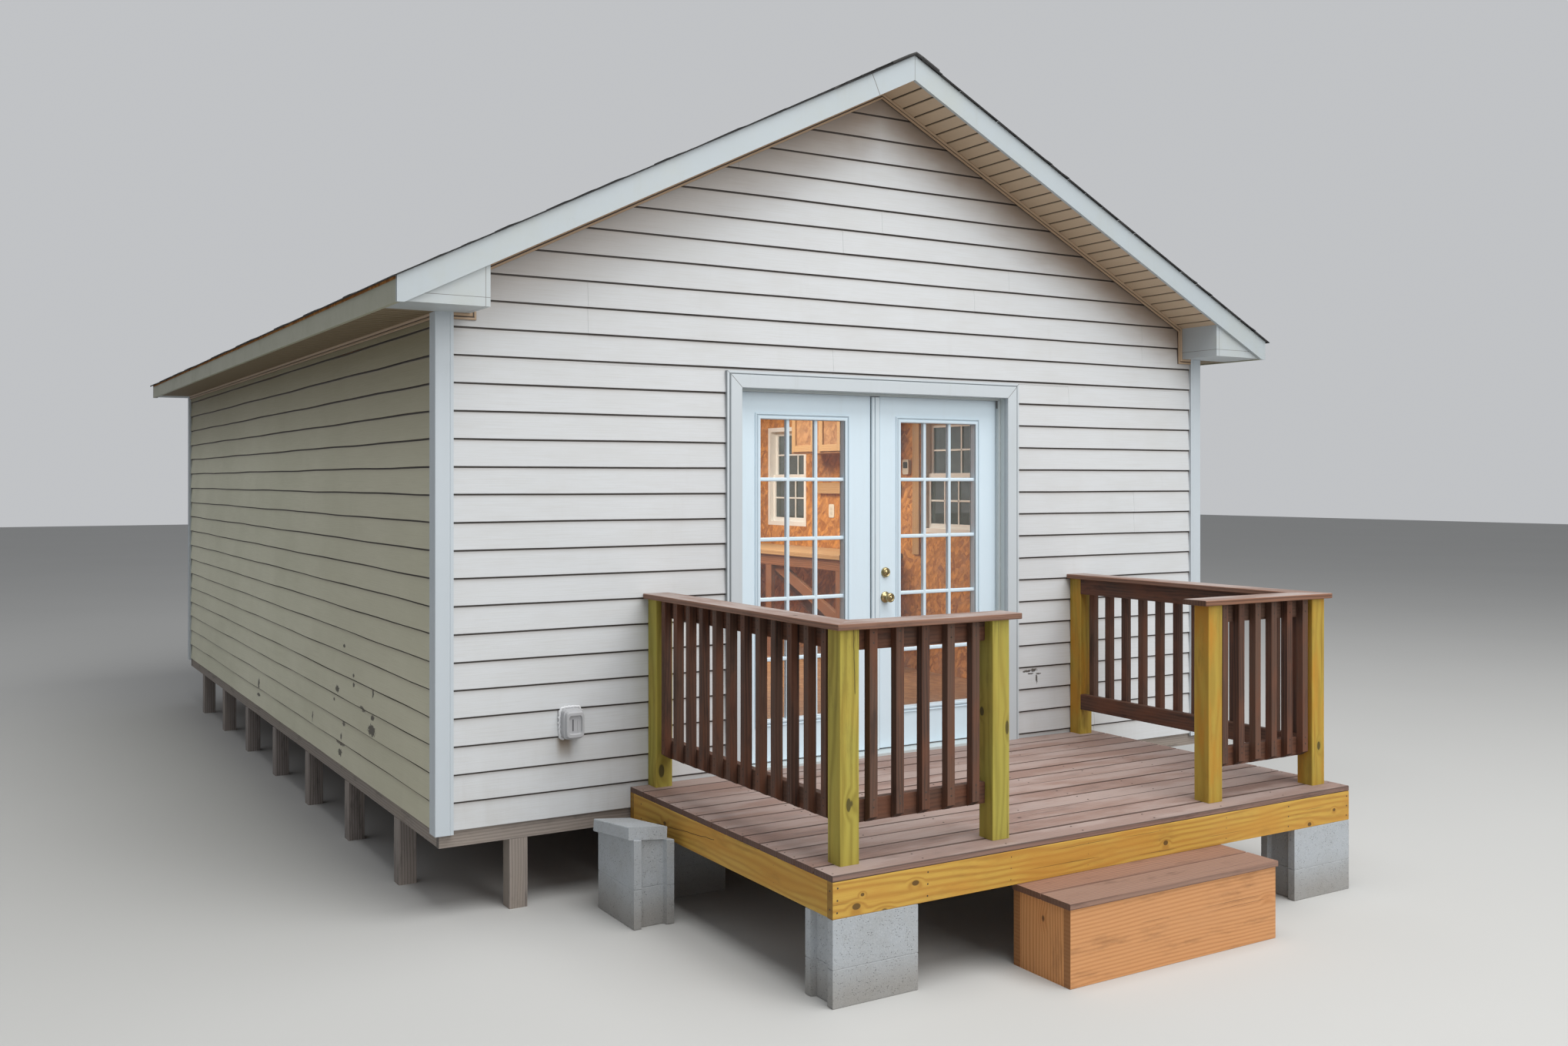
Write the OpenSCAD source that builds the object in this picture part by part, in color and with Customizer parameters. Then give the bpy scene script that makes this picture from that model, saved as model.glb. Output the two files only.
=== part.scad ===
// Gable shed cabin, 16 ft by 24 ft, on short timber posts: lap siding, a 6 in 12
// shingled roof with boxed eaves, a pair of glazed doors that open inwards, two
// windows in the right wall, and a railed deck with one step.
// Millimetres. x runs along the front wall, y into the house and z up. The origin
// is on the ground, under the middle of the whole outline.

/* [House] */
// Width over the siding of the front wall
house_w = 4877; // [4400:1:5600]
// Depth over the siding, front wall to back wall
house_d = 7315; // [6600:1:8600]
// Height of the walls from the floor to the top plate
wall_h = 2438; // [2380:1:2600]
// Thickness of the framed wall without its siding
wall_t = 111; // [95:1:150]
// Height of the lower edge of the siding above the lowest ground
siding_z = 400; // [340:1:600]
// Depth of the rim boards and joists under the floor
joist_h = 140; // [120:1:190]
// How far the rim boards show below the siding
rim_show = 76; // [40:1:100]
// Thickness of a joist, a rim board or a rafter
lumber_t = 38; // [32:1:45]
// Thickness of the floor panels
floor_t = 19; // [15:1:28]
// Spacing of the floor joists
joist_step = 406; // [380:1:610]
// Side of the timber posts under the house
stump_w = 89; // [80:1:140]
// Timber posts along the house in each row
stump_n = 7; // [4:1:9]
// Distance of the first and the last post of a row from the ends of the house
stump_end = 655; // [300:1:900]
// Distance of the front pair of posts from the corners of the house
stump_in = 345; // [250:1:600]

/* [Siding] */
// Height of one course of siding that shows
course_h = 127; // [100:1:150]
// Thickness of the siding at the lower edge of a course
siding_t = 13; // [10:1:16]
// How far the siding leans back over one course
course_lean = 9; // [5:1:9]
// Width of each face of a corner post
corner_w = 85; // [70:1:100]
// How far a corner post stands proud of the siding
corner_proud = 12; // [8:1:16]
// How far a corner post reaches below the siding
corner_drop = 15; // [0:1:25]

/* [Roof] */
// Height of the roof boards' top above the top plate, at the outer face of the wall
heel = 68; // [60:1:80]
// Rise of the roof for each unit of run
pitch = 0.5; // [0.42:0.01:0.52]
// Reach of the eaves from the siding to the face of the fascia
eave_reach = 265; // [220:1:300]
// Reach of the gable overhangs from the siding to the face of the fascia
rake_reach = 305; // [250:1:400]
// Thickness of the roof boards
board_t = 12; // [10:1:18]
// Depth of the rafters
rafter_h = 89; // [80:1:100]
// Spacing of the rafters
rafter_step = 610; // [560:1:700]
// Thickness of the fascia boards
fascia_t = 19; // [15:1:24]
// Height of the gable fascia, measured upright
rake_fascia_h = 127; // [122:1:150]
// Distance of the underside of the eave soffit below the top plate
soffit_drop = 176; // [165:1:200]
// Thickness of the soffit panels
soffit_t = 9; // [6:1:10]
// How far the eave fascia hangs below the soffit
fascia_drop = 6; // [2:1:12]
// Distance of the inner side of a boxed eave return from the house corner
return_in = 150; // [120:1:200]
// Width of the channel strip under the gable soffit
channel_w = 30; // [20:1:40]
// Thickness of the layer of shingles
shingle_t = 11; // [8:1:14]
// How far the shingles reach past the fascia
shingle_over = 25; // [15:1:35]
// Width of each side of the ridge cap
ridge_cap_w = 150; // [120:1:170]
// Thickness of the ridge cap
ridge_cap_t = 8; // [6:1:10]

/* [Doors] */
// Clear width between the side jambs
door_w = 1744; // [1660:1:1800]
// Height of the top of the door opening above the lower edge of the siding
door_head = 2057; // [2040:1:2090]
// Thickness of a jamb
jamb_t = 32; // [25:1:38]
// Thickness of a door leaf
leaf_t = 44; // [40:1:46]
// Gap round the leaves
leaf_gap = 5; // [5:0.5:7]
// Thickness of the stop strips on the jambs
stop_t = 12; // [8:1:16]
// Gap between a leaf and the sill
leaf_lift = 7; // [5:0.5:10]
// Gap between the astragal and the active leaf
meet_gap = 9; // [9:0.5:12]
// Width of the astragal on the passive leaf
astragal_w = 51; // [40:1:55]
// Place of the left edge of the astragal across the doorway
astragal_x = -14.5; // [-30:0.5:5]
// How far the astragal stands proud of the leaf
astragal_proud = 16; // [10:1:20]
// Width of the glazed opening's frame in a leaf
lite_w = 590; // [540:1:600]
// Height of the glazed opening's frame in a leaf
lite_h = 1634; // [1560:1:1640]
// Place of the middle of the glazing from the middle of the doorway
lite_x = 448; // [445:1:455]
// Height of the bottom of the glazing frame above the lower edge of the siding
lite_rise = 304; // [290:1:316]
// Width of the glazing frame's border
lite_border = 33; // [28:1:38]
// How far the glazing frame stands proud of the leaf
lite_proud = 8; // [5:1:12]
// Width of a glazing bar
muntin_w = 20; // [15:1:24]
// Depth of a glazing bar on each side of the glass
muntin_d = 11; // [8:1:14]
// Panes across and up a leaf
panes_x = 3; // [2:1:4]
panes_z = 5; // [4:1:6]
// Thickness of the glass
glass_t = 6; // [4:1:8]
// Width of the trim round the doorway
trim_w = 85; // [70:1:100]
// How far the trim stands proud of the siding
trim_proud = 20; // [14:1:26]
// Thickness of the door sill
sill_t = 32; // [26:1:36]
// Distance of the knob's axis from the edge of the active leaf
backset = 38; // [36:1:60]
// Height of the knob above the lower edge of the siding
knob_rise = 947; // [900:1:1000]
// Height of the deadbolt above the knob
bolt_up = 136; // [120:1:150]
// Radius of the knob's rose and of the deadbolt's rim
rose_r = 31; // [26:1:33]
// Radius of a hinge knuckle
knuckle_r = 6.5; // [5:0.5:8]
// Height of a hinge
hinge_h = 100; // [80:1:115]
// Distance of the upper and the lower hinge from the ends of the leaf
hinge_in = 180; // [150:1:250]
// Thickness of the hinge plates
plate_t = 2.5; // [2:0.5:4]
// Reach of a hinge plate from the pin
plate_w = 34; // [25:1:34]

/* [Windows] */
// Width of a window opening
win_w = 670; // [560:1:760]
// Height of a window opening
win_h = 905; // [800:1:1000]
// Height of a window sill above the lower edge of the siding
win_rise = 1175; // [1100:1:1250]
// Distance of the middle of the near window from the front wall
win_near = 2395; // [2100:1:2500]
// Distance of the middle of the far window from the front wall
win_far = 4789; // [4700:1:5000]
// Width of a window frame's face
win_frame = 38; // [30:1:50]
// Width of the trim round a window
win_trim = 60; // [40:1:80]
// Width of a sash's stiles and rails
sash_w = 36; // [28:1:44]
// Thickness of a sash
sash_t = 26; // [20:1:30]
// Distance of the upper sash from the outer face of the framed wall
sash_in = 20; // [10:1:40]
// Width of a window's glazing bars
win_bar = 14; // [10:1:18]
// Panes across a sash, and up it
win_panes_x = 3; // [2:1:4]
win_panes_z = 2; // [1:1:3]

/* [Deck] */
// Width of the deck
deck_w = 3000; // [2800:1:3300]
// Middle of the deck from the middle of the house
deck_x = 15; // [0:1:40]
// Depth of the deck from the siding to its front edge
deck_d = 1790; // [1600:1:2000]
// Height of the deck's top above the lower edge of the siding
deck_rise = 101; // [95:1:106]
// Thickness of the deck boards
plank_t = 25; // [20:1:32]
// Boards across the depth of the deck
planks = 13; // [10:1:15]
// Gap between deck boards
plank_gap = 5; // [3:1:8]
// Depth of the deck's rim boards and joists
deck_joist_h = 140; // [120:1:180]
// Side of the deck's posts
post_w = 89; // [80:1:100]
// Height of the posts above the deck
post_h = 909; // [850:1:1000]
// Distance of the posts from the front edge of the deck
post_front_in = 90; // [40:1:140]
// Distance of the left posts from the left edge of the deck
post_left_in = 93; // [50:1:140]
// Distance of the right posts from the right edge of the deck
post_right_in = 64; // [50:1:140]
// Width of the way in between the front posts
entry_w = 1190; // [1050:1:1250]
// Middle of the way in from the middle of the deck
entry_x = 30; // [0:1:60]
// Height of the upper and lower rails
rail_h = 89; // [70:1:95]
// Height of the lower rail above the deck
rail_lift = 145; // [90:1:170]
// Side of a baluster
baluster_w = 38; // [30:1:42]
// Balusters of each side panel
side_balusters = 12; // [8:1:13]
// Balusters of the left front panel
left_balusters = 5; // [3:1:6]
// Balusters of the right front panel
right_balusters = 6; // [3:1:6]
// Gap between a post and the first baluster of a side panel
side_gap = 32; // [20:1:60]
// Gap between a post and the first baluster of the left front panel
left_gap = 58; // [20:1:80]
// Gap between a post and the first baluster of the right front panel
right_gap = 16; // [10:1:60]
// Width of the cap board on the railings
cap_w = 140; // [120:1:150]
// Thickness of the cap board
cap_t = 25; // [20:1:38]
// How far the cap board runs past the posts of the way in
cap_end = 47; // [25:1:70]
// Length of a concrete block
block_l = 397; // [380:1:400]
// Width of a concrete block
block_w = 194; // [180:1:200]
// Distance of the blocks under the deck from its sides
pier_in = 0; // [0:1:60]
// Length, width and thickness of the slab on the block beside the deck
slab_l = 424; // [400:1:440]
slab_w = 266; // [240:1:300]
slab_t = 50; // [40:1:60]
// Height of the slab's top above the lower edge of the siding
slab_rise = 0; // [-40:1:60]
// Distance of the slab from the front wall
slab_y = 145; // [60:1:300]
// How far the slab reaches past the block below it
slab_over = 14; // [5:1:25]

/* [Step] */
// Width of the step
step_w = 1205; // [1000:1:1219]
// Middle of the step from the middle of the deck
step_x = 0; // [-30:1:30]
// Gap between the step's top and the deck's rim board
step_gap = 0.3; // [0.1:0.1:20]
// Reach of the step in front of the deck
step_reach = 315; // [290:1:360]
// How far the step stands in under the deck
step_under = 28; // [5:1:60]

/* [Fittings] */
// Width, height and depth of the outlet cover
outlet_w = 109; // [90:1:130]
outlet_h = 150; // [130:1:170]
outlet_d = 72; // [50:1:90]
// Thickness of the outlet cover's back plate
outlet_plate = 8; // [5:1:12]
// How far the outlet cover's sides and foot lean in, and its top
outlet_side = 10; // [4:1:20]
outlet_top = 22; // [10:1:40]
// Place of the left side of the outlet cover from the left corner of the house
outlet_x = 585; // [450:1:640]
// Height of the outlet cover above the lower edge of the siding
outlet_rise = 365; // [300:1:450]
// Depth of the workbench
bench_d = 610; // [500:1:700]
// Height of the workbench above the floor
bench_h = 914; // [800:1:960]
// Length of the workbench
bench_l = 3356; // [2800:1:4000]
// Distance of the near end of the workbench from the front wall
bench_y = 2987; // [2900:1:3100]
// Width of the bench's legs
bench_leg = 89; // [60:1:100]
// Pairs of bench leg and brace
bench_legs = 4; // [3:1:6]
// How far the bench top reaches past the legs
bench_over = 20; // [5:1:60]
// Height on the wall of the foot of the bench's braces
brace_rise = 150; // [60:1:300]
// Length of the row of wall cupboards
cupboard_l = 1210; // [900:1:1400]
// Distance of the near end of the cupboards from the front wall
cupboard_y = 3000; // [2900:1:3020]
// Height of the cupboards' underside above the lower edge of the siding
cupboard_rise = 1820; // [1750:1:1850]
// Height of the wall cupboards
cupboard_h = 620; // [500:1:660]
// Depth of the wall cupboards
cupboard_d = 300; // [250:1:350]

/* [Hidden] */

// A hair between pieces that would cut into each other
hair = 0.3;
// Extra length of a tool that cuts right through
over = 20;
// How far pieces that are fused into one solid run into each other
bite = 1;

half_w = house_w / 2;
frame_half = half_w - siding_t;
frame_front = siding_t;
frame_back = house_d - siding_t;
room_half = frame_half - wall_t;
room_front = frame_front + wall_t;
room_back = frame_back - wall_t;

rim_z = siding_z - rim_show;
joist_top = rim_z + joist_h;
beam_z = rim_z - joist_h;
floor_z = joist_top + floor_t;
plate_z = floor_z + wall_h;
ridge_z = plate_z + heel + pitch * frame_half;
soffit_z = plate_z - soffit_drop;
door_top = siding_z + door_head;
head_z = door_top + jamb_t;
sill_top = floor_z + sill_t;

// Upright thickness of a layer that follows the roof
slope = sqrt(1 + pitch * pitch);
board_v = board_t * slope;
rafter_v = rafter_h * slope;
soffit_v = soffit_t * slope;
shingle_v = shingle_t * slope;
cap_v = ridge_cap_t * slope;
under_v = board_v + rafter_v;
eave_x = half_w + eave_reach;
tail_x = eave_x - fascia_t;
rake_y0 = -rake_reach;
rake_y1 = house_d + rake_reach;
return_x = half_w - return_in;
tail_z = soffit_z + soffit_t;
shingle_x = eave_x + shingle_over;
roof_z = function(x, drop = 0) ridge_z - pitch * abs(x) - drop;
roof_x = function(z, drop = 0) (ridge_z - drop - z) / pitch;

deck_z = siding_z + deck_rise;
deck_joist_z = deck_z - plank_t - deck_joist_h;
deck_x0 = deck_x - deck_w / 2;
deck_x1 = deck_x + deck_w / 2;
left_post_x = deck_x0 + post_left_in;
right_post_x = deck_x1 - post_right_in - post_w;
front_post_y = -deck_d + post_front_in;
entry_x0 = deck_x + entry_x - entry_w / 2;
entry_x1 = deck_x + entry_x + entry_w / 2;
cap_z = deck_z + post_h;
rail_z = deck_z + rail_lift;
cap_over = (cap_w - post_w) / 2;
step_z = deck_joist_z - step_gap;
step_y0 = -deck_d - step_reach;
step_y1 = -deck_d + step_under;
rake_over = shingle_over * 0.6;

door_half = door_w / 2;
leaf_z0 = sill_top + leaf_lift;
leaf_z1 = door_top - leaf_gap;
leaf_y1 = room_front;
leaf_y0 = leaf_y1 - leaf_t;
left_leaf_x0 = -door_half + leaf_gap;
left_leaf_x1 = astragal_x;
right_leaf_x0 = astragal_x + astragal_w + meet_gap;
right_leaf_x1 = door_half - leaf_gap;
lite_z = siding_z + lite_rise;
knob_z = siding_z + knob_rise;
knob_x = right_leaf_x0 + backset;
hinge_x = door_half - leaf_gap / 2;
hinge_y = room_front + hair + knuckle_r;
knuckle_h = (hinge_h - 2 * hair) / 3;
hinge_top = leaf_z1 - hinge_in - hinge_h;
hinge_low = leaf_z0 + hinge_in;
hinge_zs = [hinge_low, (hinge_low + hinge_top) / 2, hinge_top];
win_z = siding_z + win_rise;
win_ys = [win_near, win_far];
outlet_x0 = -half_w + outlet_x;
outlet_z = siding_z + outlet_rise;

// The step reaches furthest to the front, and the shingles furthest to the back
centre_y = (step_y0 + rake_y1 + rake_over) / 2;

// Moves the house from its front wall's line to the middle of the outline
module place() {
    translate([0, -centre_y, 0]) children();
}

// Box between two corners
module block(lo, hi) {
    translate(lo) cube(hi - lo);
}

// Outline in x and z, carried along y
module along_y(y0, y1) {
    translate([0, y1, 0]) rotate([90, 0, 0]) linear_extrude(y1 - y0) children();
}

// Outline in y and z, carried along x
module along_x(x0, x1) {
    translate([x0, 0, 0]) rotate([90, 0, 90]) linear_extrude(x1 - x0) children();
}

// One child on each side of the middle
module both_sides() {
    children();
    mirror([1, 0, 0]) children();
}

// Layer that follows one side of the roof, from x0 out to x1
module roof_layer(x0, x1, top_drop, bottom_drop) {
    polygon([
        [x0, roof_z(x0, top_drop)], [x1, roof_z(x1, top_drop)],
        [x1, roof_z(x1, bottom_drop)], [x0, roof_z(x0, bottom_drop)]
    ]);
}

// Foundation and floor

module house_posts() {
    spacing = (house_d - 2 * stump_end - stump_w) / (stump_n - 1);
    color("tan") {
        for (k = [0 : stump_n - 1]) translate([0, stump_end + k * spacing, 0]) {
            for (x = [-frame_half, frame_half - stump_w])
                translate([x, 0, 0]) cube([stump_w, stump_w, rim_z]);
            translate([-stump_w / 2, 0, 0]) cube([stump_w, stump_w, beam_z]);
        }
        for (x = [-half_w + stump_in, half_w - stump_in - stump_w])
            translate([x, frame_front, 0]) cube([stump_w, stump_w, rim_z]);
    }
}

// Rim boards and joists, on a beam that runs along the middle
module floor_frame() {
    side_y0 = frame_front + lumber_t + hair;
    inner_x = frame_half - lumber_t - hair;
    joist_n = floor((frame_back - frame_front) / joist_step);
    color("burlywood") {
        block([-lumber_t, frame_front, beam_z], [lumber_t, frame_back, rim_z - hair]);
        for (y = [frame_front, frame_back - lumber_t])
            block([-frame_half, y, rim_z], [frame_half, y + lumber_t, joist_top]);
        both_sides()
            block([frame_half - lumber_t, side_y0, rim_z], [frame_half, house_d - side_y0, joist_top]);
        for (k = [1 : joist_n - 1])
            translate([-inner_x, frame_front + k * joist_step, rim_z])
                cube([2 * inner_x, lumber_t, joist_h]);
    }
}

module floor_panels() {
    color("peru") block([-frame_half, frame_front, joist_top], [frame_half, frame_back, floor_z]);
}

// Walls

module side_wall(x0) {
    block([x0, room_front, floor_z], [x0 + wall_t, room_back, plate_z]);
}

module left_wall() {
    color("sandybrown") side_wall(-frame_half);
}

module right_wall() {
    color("sandybrown") difference() {
        side_wall(room_half);
        for (y = win_ys)
            block([room_half - over, y - win_w / 2, win_z],
                [frame_half + over, y + win_w / 2, win_z + win_h]);
    }
}

// Outline of a gable wall from height z0 up to the rafters
module gable_outline(z0) {
    polygon([
        [-frame_half, z0], [frame_half, z0], [frame_half, roof_z(frame_half, under_v)],
        [0, roof_z(0, under_v)], [-frame_half, roof_z(frame_half, under_v)]
    ]);
}

module back_wall() {
    color("sandybrown") along_y(room_back, frame_back) gable_outline(floor_z);
}

module front_wall_left() {
    color("sandybrown")
        block([-frame_half, frame_front, floor_z], [-door_half - jamb_t, room_front, head_z]);
}

module front_wall_right() {
    color("sandybrown")
        block([door_half + jamb_t, frame_front, floor_z], [frame_half, room_front, head_z]);
}

module front_gable() {
    color("sandybrown") along_y(frame_front, room_front) gable_outline(head_z);
}

// Siding

// Saw-tooth section of the courses from their foot to height z1, outer face to -x
module lap_section(z1) {
    n = ceil((z1 - siding_z) / course_h);
    polygon(concat(
        [[siding_t, siding_z]],
        [for (k = [0 : n - 1], s = [0, 1])
            [s * course_lean, siding_z + (k + s) * course_h]],
        [[siding_t, siding_z + n * course_h]]
    ));
}

// What the front or back siding covers: up to the gable soffit, inside the corner posts
module gable_cover() {
    x1 = half_w - corner_w + corner_proud;
    drop = under_v + soffit_v;
    polygon([
        [-x1, siding_z], [x1, siding_z], [x1, roof_z(x1, drop)],
        [0, roof_z(0, drop)], [-x1, roof_z(x1, drop)]
    ]);
}

module gable_siding() {
    intersection() {
        along_x(-half_w, half_w) lap_section(ridge_z);
        along_y(-over, siding_t) gable_cover();
    }
}

module siding_front() {
    color("gainsboro") difference() {
        gable_siding();
        block([-door_half - trim_w, -over, floor_z],
            [door_half + trim_w, siding_t + over, door_top + trim_w]);
    }
}

module siding_back() {
    color("gainsboro") translate([0, house_d, 0]) rotate([0, 0, 180]) gable_siding();
}

// Siding of the left wall
module side_siding() {
    y0 = corner_w - corner_proud;
    intersection() {
        translate([-half_w, 0, 0]) along_y(0, house_d) lap_section(soffit_z);
        block([-half_w - over, y0, siding_z], [-frame_half, house_d - y0, soffit_z]);
    }
}

module siding_left() {
    color("gainsboro") side_siding();
}

module siding_right() {
    color("gainsboro") difference() {
        mirror([1, 0, 0]) side_siding();
        for (y = win_ys)
            block([frame_half - over, y - win_w / 2 - win_trim, win_z - win_trim],
                [half_w + over, y + win_w / 2 + win_trim, win_z + win_h + win_trim]);
    }
}

module corner_post() {
    x0 = -half_w - corner_proud;
    z0 = siding_z - corner_drop;
    translate([0, 0, z0]) linear_extrude(soffit_z - z0) union() {
        translate([x0, -corner_proud]) square([corner_w, corner_proud + siding_t]);
        translate([x0, -corner_proud]) square([corner_proud + siding_t, corner_w]);
    }
}

module corner_posts() {
    color("lightsteelblue") both_sides() {
        corner_post();
        translate([0, house_d, 0]) mirror([0, 1, 0]) corner_post();
    }
}

// Roof

// Outline of a rafter, notched over the wall's top plate and cut level at its tail
module rafter_outline() {
    seat_x = roof_x(plate_z, under_v);
    top = board_v - bite;
    polygon([
        [0, roof_z(0, top)], [tail_x, roof_z(tail_x, top)], [tail_x, tail_z],
        [roof_x(tail_z, under_v), tail_z], [frame_half, roof_z(frame_half, under_v)],
        [frame_half, plate_z], [seat_x, plate_z], [0, roof_z(0, under_v)]
    ]);
}

// Right side of the roof: boards on rafters
module roof_side() {
    rafter_n = round((frame_back - frame_front - lumber_t) / rafter_step);
    spacing = (frame_back - frame_front - lumber_t) / rafter_n;
    along_y(rake_y0 + fascia_t, rake_y1 - fascia_t) roof_layer(0, eave_x, 0, board_v);
    for (k = [0 : rafter_n])
        along_y(frame_front + k * spacing, frame_front + k * spacing + lumber_t) rafter_outline();
    for (y = [rake_y0 + fascia_t, rake_y1 - fascia_t - lumber_t])
        along_y(y, y + lumber_t) polygon([
            [0, roof_z(0, board_v - bite)], [tail_x, roof_z(tail_x, board_v - bite)], [tail_x, tail_z],
            [roof_x(tail_z, under_v), tail_z], [0, roof_z(0, under_v)]
        ]);
}

module roof_left() {
    color("wheat") mirror([1, 0, 0]) roof_side();
}

module roof_right() {
    color("wheat") roof_side();
}

module shingle_side() {
    along_y(rake_y0 - rake_over, rake_y1 + rake_over) roof_layer(0, shingle_x, -shingle_v, 0);
}

module shingles_left() {
    color("dimgray") mirror([1, 0, 0]) shingle_side();
}

module shingles_right() {
    color("dimgray") shingle_side();
}

module ridge_cap() {
    top = -shingle_v - cap_v;
    color("gray") along_y(rake_y0 - rake_over, rake_y1 + rake_over) polygon([
        [0, roof_z(0, top)], [ridge_cap_w, roof_z(ridge_cap_w, top)],
        [ridge_cap_w, roof_z(ridge_cap_w, -shingle_v)], [0, roof_z(0, -shingle_v)],
        [-ridge_cap_w, roof_z(ridge_cap_w, -shingle_v)], [-ridge_cap_w, roof_z(ridge_cap_w, top)]
    ]);
}

module rake_fascias() {
    foot_z = soffit_z - fascia_drop;
    color("whitesmoke") for (y = [rake_y0, rake_y1 - fascia_t])
        along_y(y, y + fascia_t) polygon([
            [0, roof_z(0)], [eave_x, roof_z(eave_x)], [eave_x, foot_z],
            [roof_x(foot_z, rake_fascia_h), foot_z],
            [0, roof_z(0, rake_fascia_h)], [-roof_x(foot_z, rake_fascia_h), foot_z],
            [-eave_x, foot_z], [-eave_x, roof_z(eave_x)]
        ]);
}

module eave_fascias() {
    color("whitesmoke") both_sides() along_y(rake_y0 + fascia_t, rake_y1 - fascia_t) polygon([
        [tail_x, soffit_z - fascia_drop], [eave_x, soffit_z - fascia_drop],
        [eave_x, roof_z(eave_x, board_v)], [tail_x, roof_z(tail_x, board_v)]
    ]);
}

// Gable soffit of one end, both slopes
module rake_soffit(y0, y1) {
    along_y(y0, y1) polygon([
        [return_x, roof_z(return_x, under_v)], [0, roof_z(0, under_v)],
        [-return_x, roof_z(return_x, under_v)],
        [-return_x, roof_z(return_x, under_v + soffit_v)], [0, roof_z(0, under_v + soffit_v)],
        [return_x, roof_z(return_x, under_v + soffit_v)]
    ]);
}

module rake_soffits() {
    color("tan") {
        rake_soffit(rake_y0 + fascia_t, 0);
        rake_soffit(house_d, rake_y1 - fascia_t);
    }
}

module eave_soffits() {
    color("tan") both_sides() block([half_w, 0, soffit_z], [tail_x, house_d, tail_z]);
}

// Boxed end of the eaves under the gable overhang
module eave_return(y0, y1) {
    along_y(y0, y1) polygon([
        [return_x, soffit_z], [tail_x, soffit_z], [tail_x, tail_z],
        [roof_x(tail_z, under_v + soffit_v), tail_z], [return_x, roof_z(return_x, under_v + soffit_v)]
    ]);
}

module eave_returns() {
    color("whitesmoke") both_sides() {
        eave_return(rake_y0 + fascia_t, 0);
        eave_return(house_d, rake_y1 - fascia_t);
    }
}

// Strip along the top of the gable siding, down the side of the eave return
module channel_side() {
    drop = under_v + soffit_v;
    in_x = return_x - channel_w;
    post_x = half_w - corner_w + corner_proud;
    polygon([
        [0, roof_z(0, drop)], [return_x, roof_z(return_x, drop)], [return_x, soffit_z],
        [post_x, soffit_z], [post_x, soffit_z - channel_w], [in_x, soffit_z - channel_w],
        [in_x, roof_z(in_x, drop + channel_w)], [0, roof_z(0, drop + channel_w)]
    ]);
}

module soffit_channel() {
    along_y(-corner_proud, -hair) both_sides() channel_side();
}

module soffit_channels() {
    color("whitesmoke") {
        soffit_channel();
        translate([0, house_d, 0]) mirror([0, 1, 0]) soffit_channel();
    }
}

// Doors

// Outline in x and z of a door surround between an inner and an outer width
module surround(inner, outer, z0) {
    difference() {
        translate([-outer, z0]) square([2 * outer, door_top + outer - inner - z0]);
        translate([-inner, z0 - over]) square([2 * inner, door_top - z0 + over]);
    }
}

module door_frame() {
    color("white") {
        along_y(frame_front, room_front) surround(door_half, door_half + jamb_t, sill_top);
        along_y(leaf_y0 - leaf_gap - stop_t * 2, leaf_y0 - leaf_gap) difference() {
            translate([-door_half, sill_top]) square([door_w, door_top - sill_top]);
            translate([-door_half + stop_t, sill_top - over])
                square([door_w - 2 * stop_t, door_top - sill_top - stop_t + over]);
        }
    }
}

module door_sill() {
    color("silver") {
        block([-door_half - jamb_t, frame_front, floor_z], [door_half + jamb_t, room_front, sill_top]);
        block([-door_half, -trim_proud, deck_z + hair], [door_half, frame_front + over, sill_top]);
    }
}

module door_trim() {
    color("lightsteelblue") along_y(-trim_proud, siding_t)
        surround(door_half, door_half + trim_w, deck_z + hair);
}

// Door leaf between x0 and x1 with its glazed opening, glazing frame and bars
module door_leaf(x0, x1, lite_mid) {
    pane_w = (lite_w - 2 * lite_border) / panes_x;
    pane_h = (lite_h - 2 * lite_border) / panes_z;
    glass_x = lite_mid - lite_w / 2 + lite_border;
    glass_z = lite_z + lite_border;
    mid_y = (leaf_y0 + leaf_y1) / 2;
    difference() {
        union() {
            block([x0, leaf_y0, leaf_z0], [x1, leaf_y1, leaf_z1]);
            translate([lite_mid - lite_w / 2, leaf_y0 - lite_proud, lite_z])
                cube([lite_w, leaf_t + lite_proud, lite_h]);
        }
        translate([glass_x, leaf_y0 - over, glass_z])
            cube([lite_w - 2 * lite_border, leaf_t + 2 * over, lite_h - 2 * lite_border]);
    }
    for (side = [-1, 1]) {
        y = side < 0 ? mid_y - glass_t / 2 - hair - muntin_d : mid_y + glass_t / 2 + hair;
        for (i = [1 : panes_x - 1])
            translate([glass_x + i * pane_w - muntin_w / 2, y, glass_z - bite])
                cube([muntin_w, muntin_d, panes_z * pane_h + 2 * bite]);
        for (k = [1 : panes_z - 1])
            translate([glass_x - bite, y, glass_z + k * pane_h - muntin_w / 2])
                cube([panes_x * pane_w + 2 * bite, muntin_d, muntin_w]);
    }
}

module door_glass(lite_mid) {
    mid_y = (leaf_y0 + leaf_y1) / 2;
    w = lite_w - 2 * lite_border - 2 * hair;
    h = lite_h - 2 * lite_border - 2 * hair;
    color("lightblue", 0.4) translate([lite_mid - w / 2, mid_y - glass_t / 2, lite_z + lite_border + hair])
        cube([w, glass_t, h]);
}

module door_leaf_left() {
    color("aliceblue") door_leaf(left_leaf_x0, left_leaf_x1 - hair, -lite_x);
}

module door_leaf_right() {
    color("aliceblue") door_leaf(right_leaf_x0, right_leaf_x1, lite_x);
}

module door_glass_left() {
    door_glass(-lite_x);
}

module door_glass_right() {
    door_glass(lite_x);
}

// Bar on the free edge of the passive leaf; its proud part ends under the head stop
module astragal() {
    x1 = left_leaf_x1 + astragal_w;
    proud_z = door_top - stop_t - leaf_gap;
    color("aliceblue") {
        block([left_leaf_x1, leaf_y0, leaf_z0], [x1, leaf_y1, leaf_z1]);
        block([left_leaf_x1, leaf_y0 - astragal_proud, leaf_z0], [x1, leaf_y0 + bite, proud_z]);
    }
}

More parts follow.
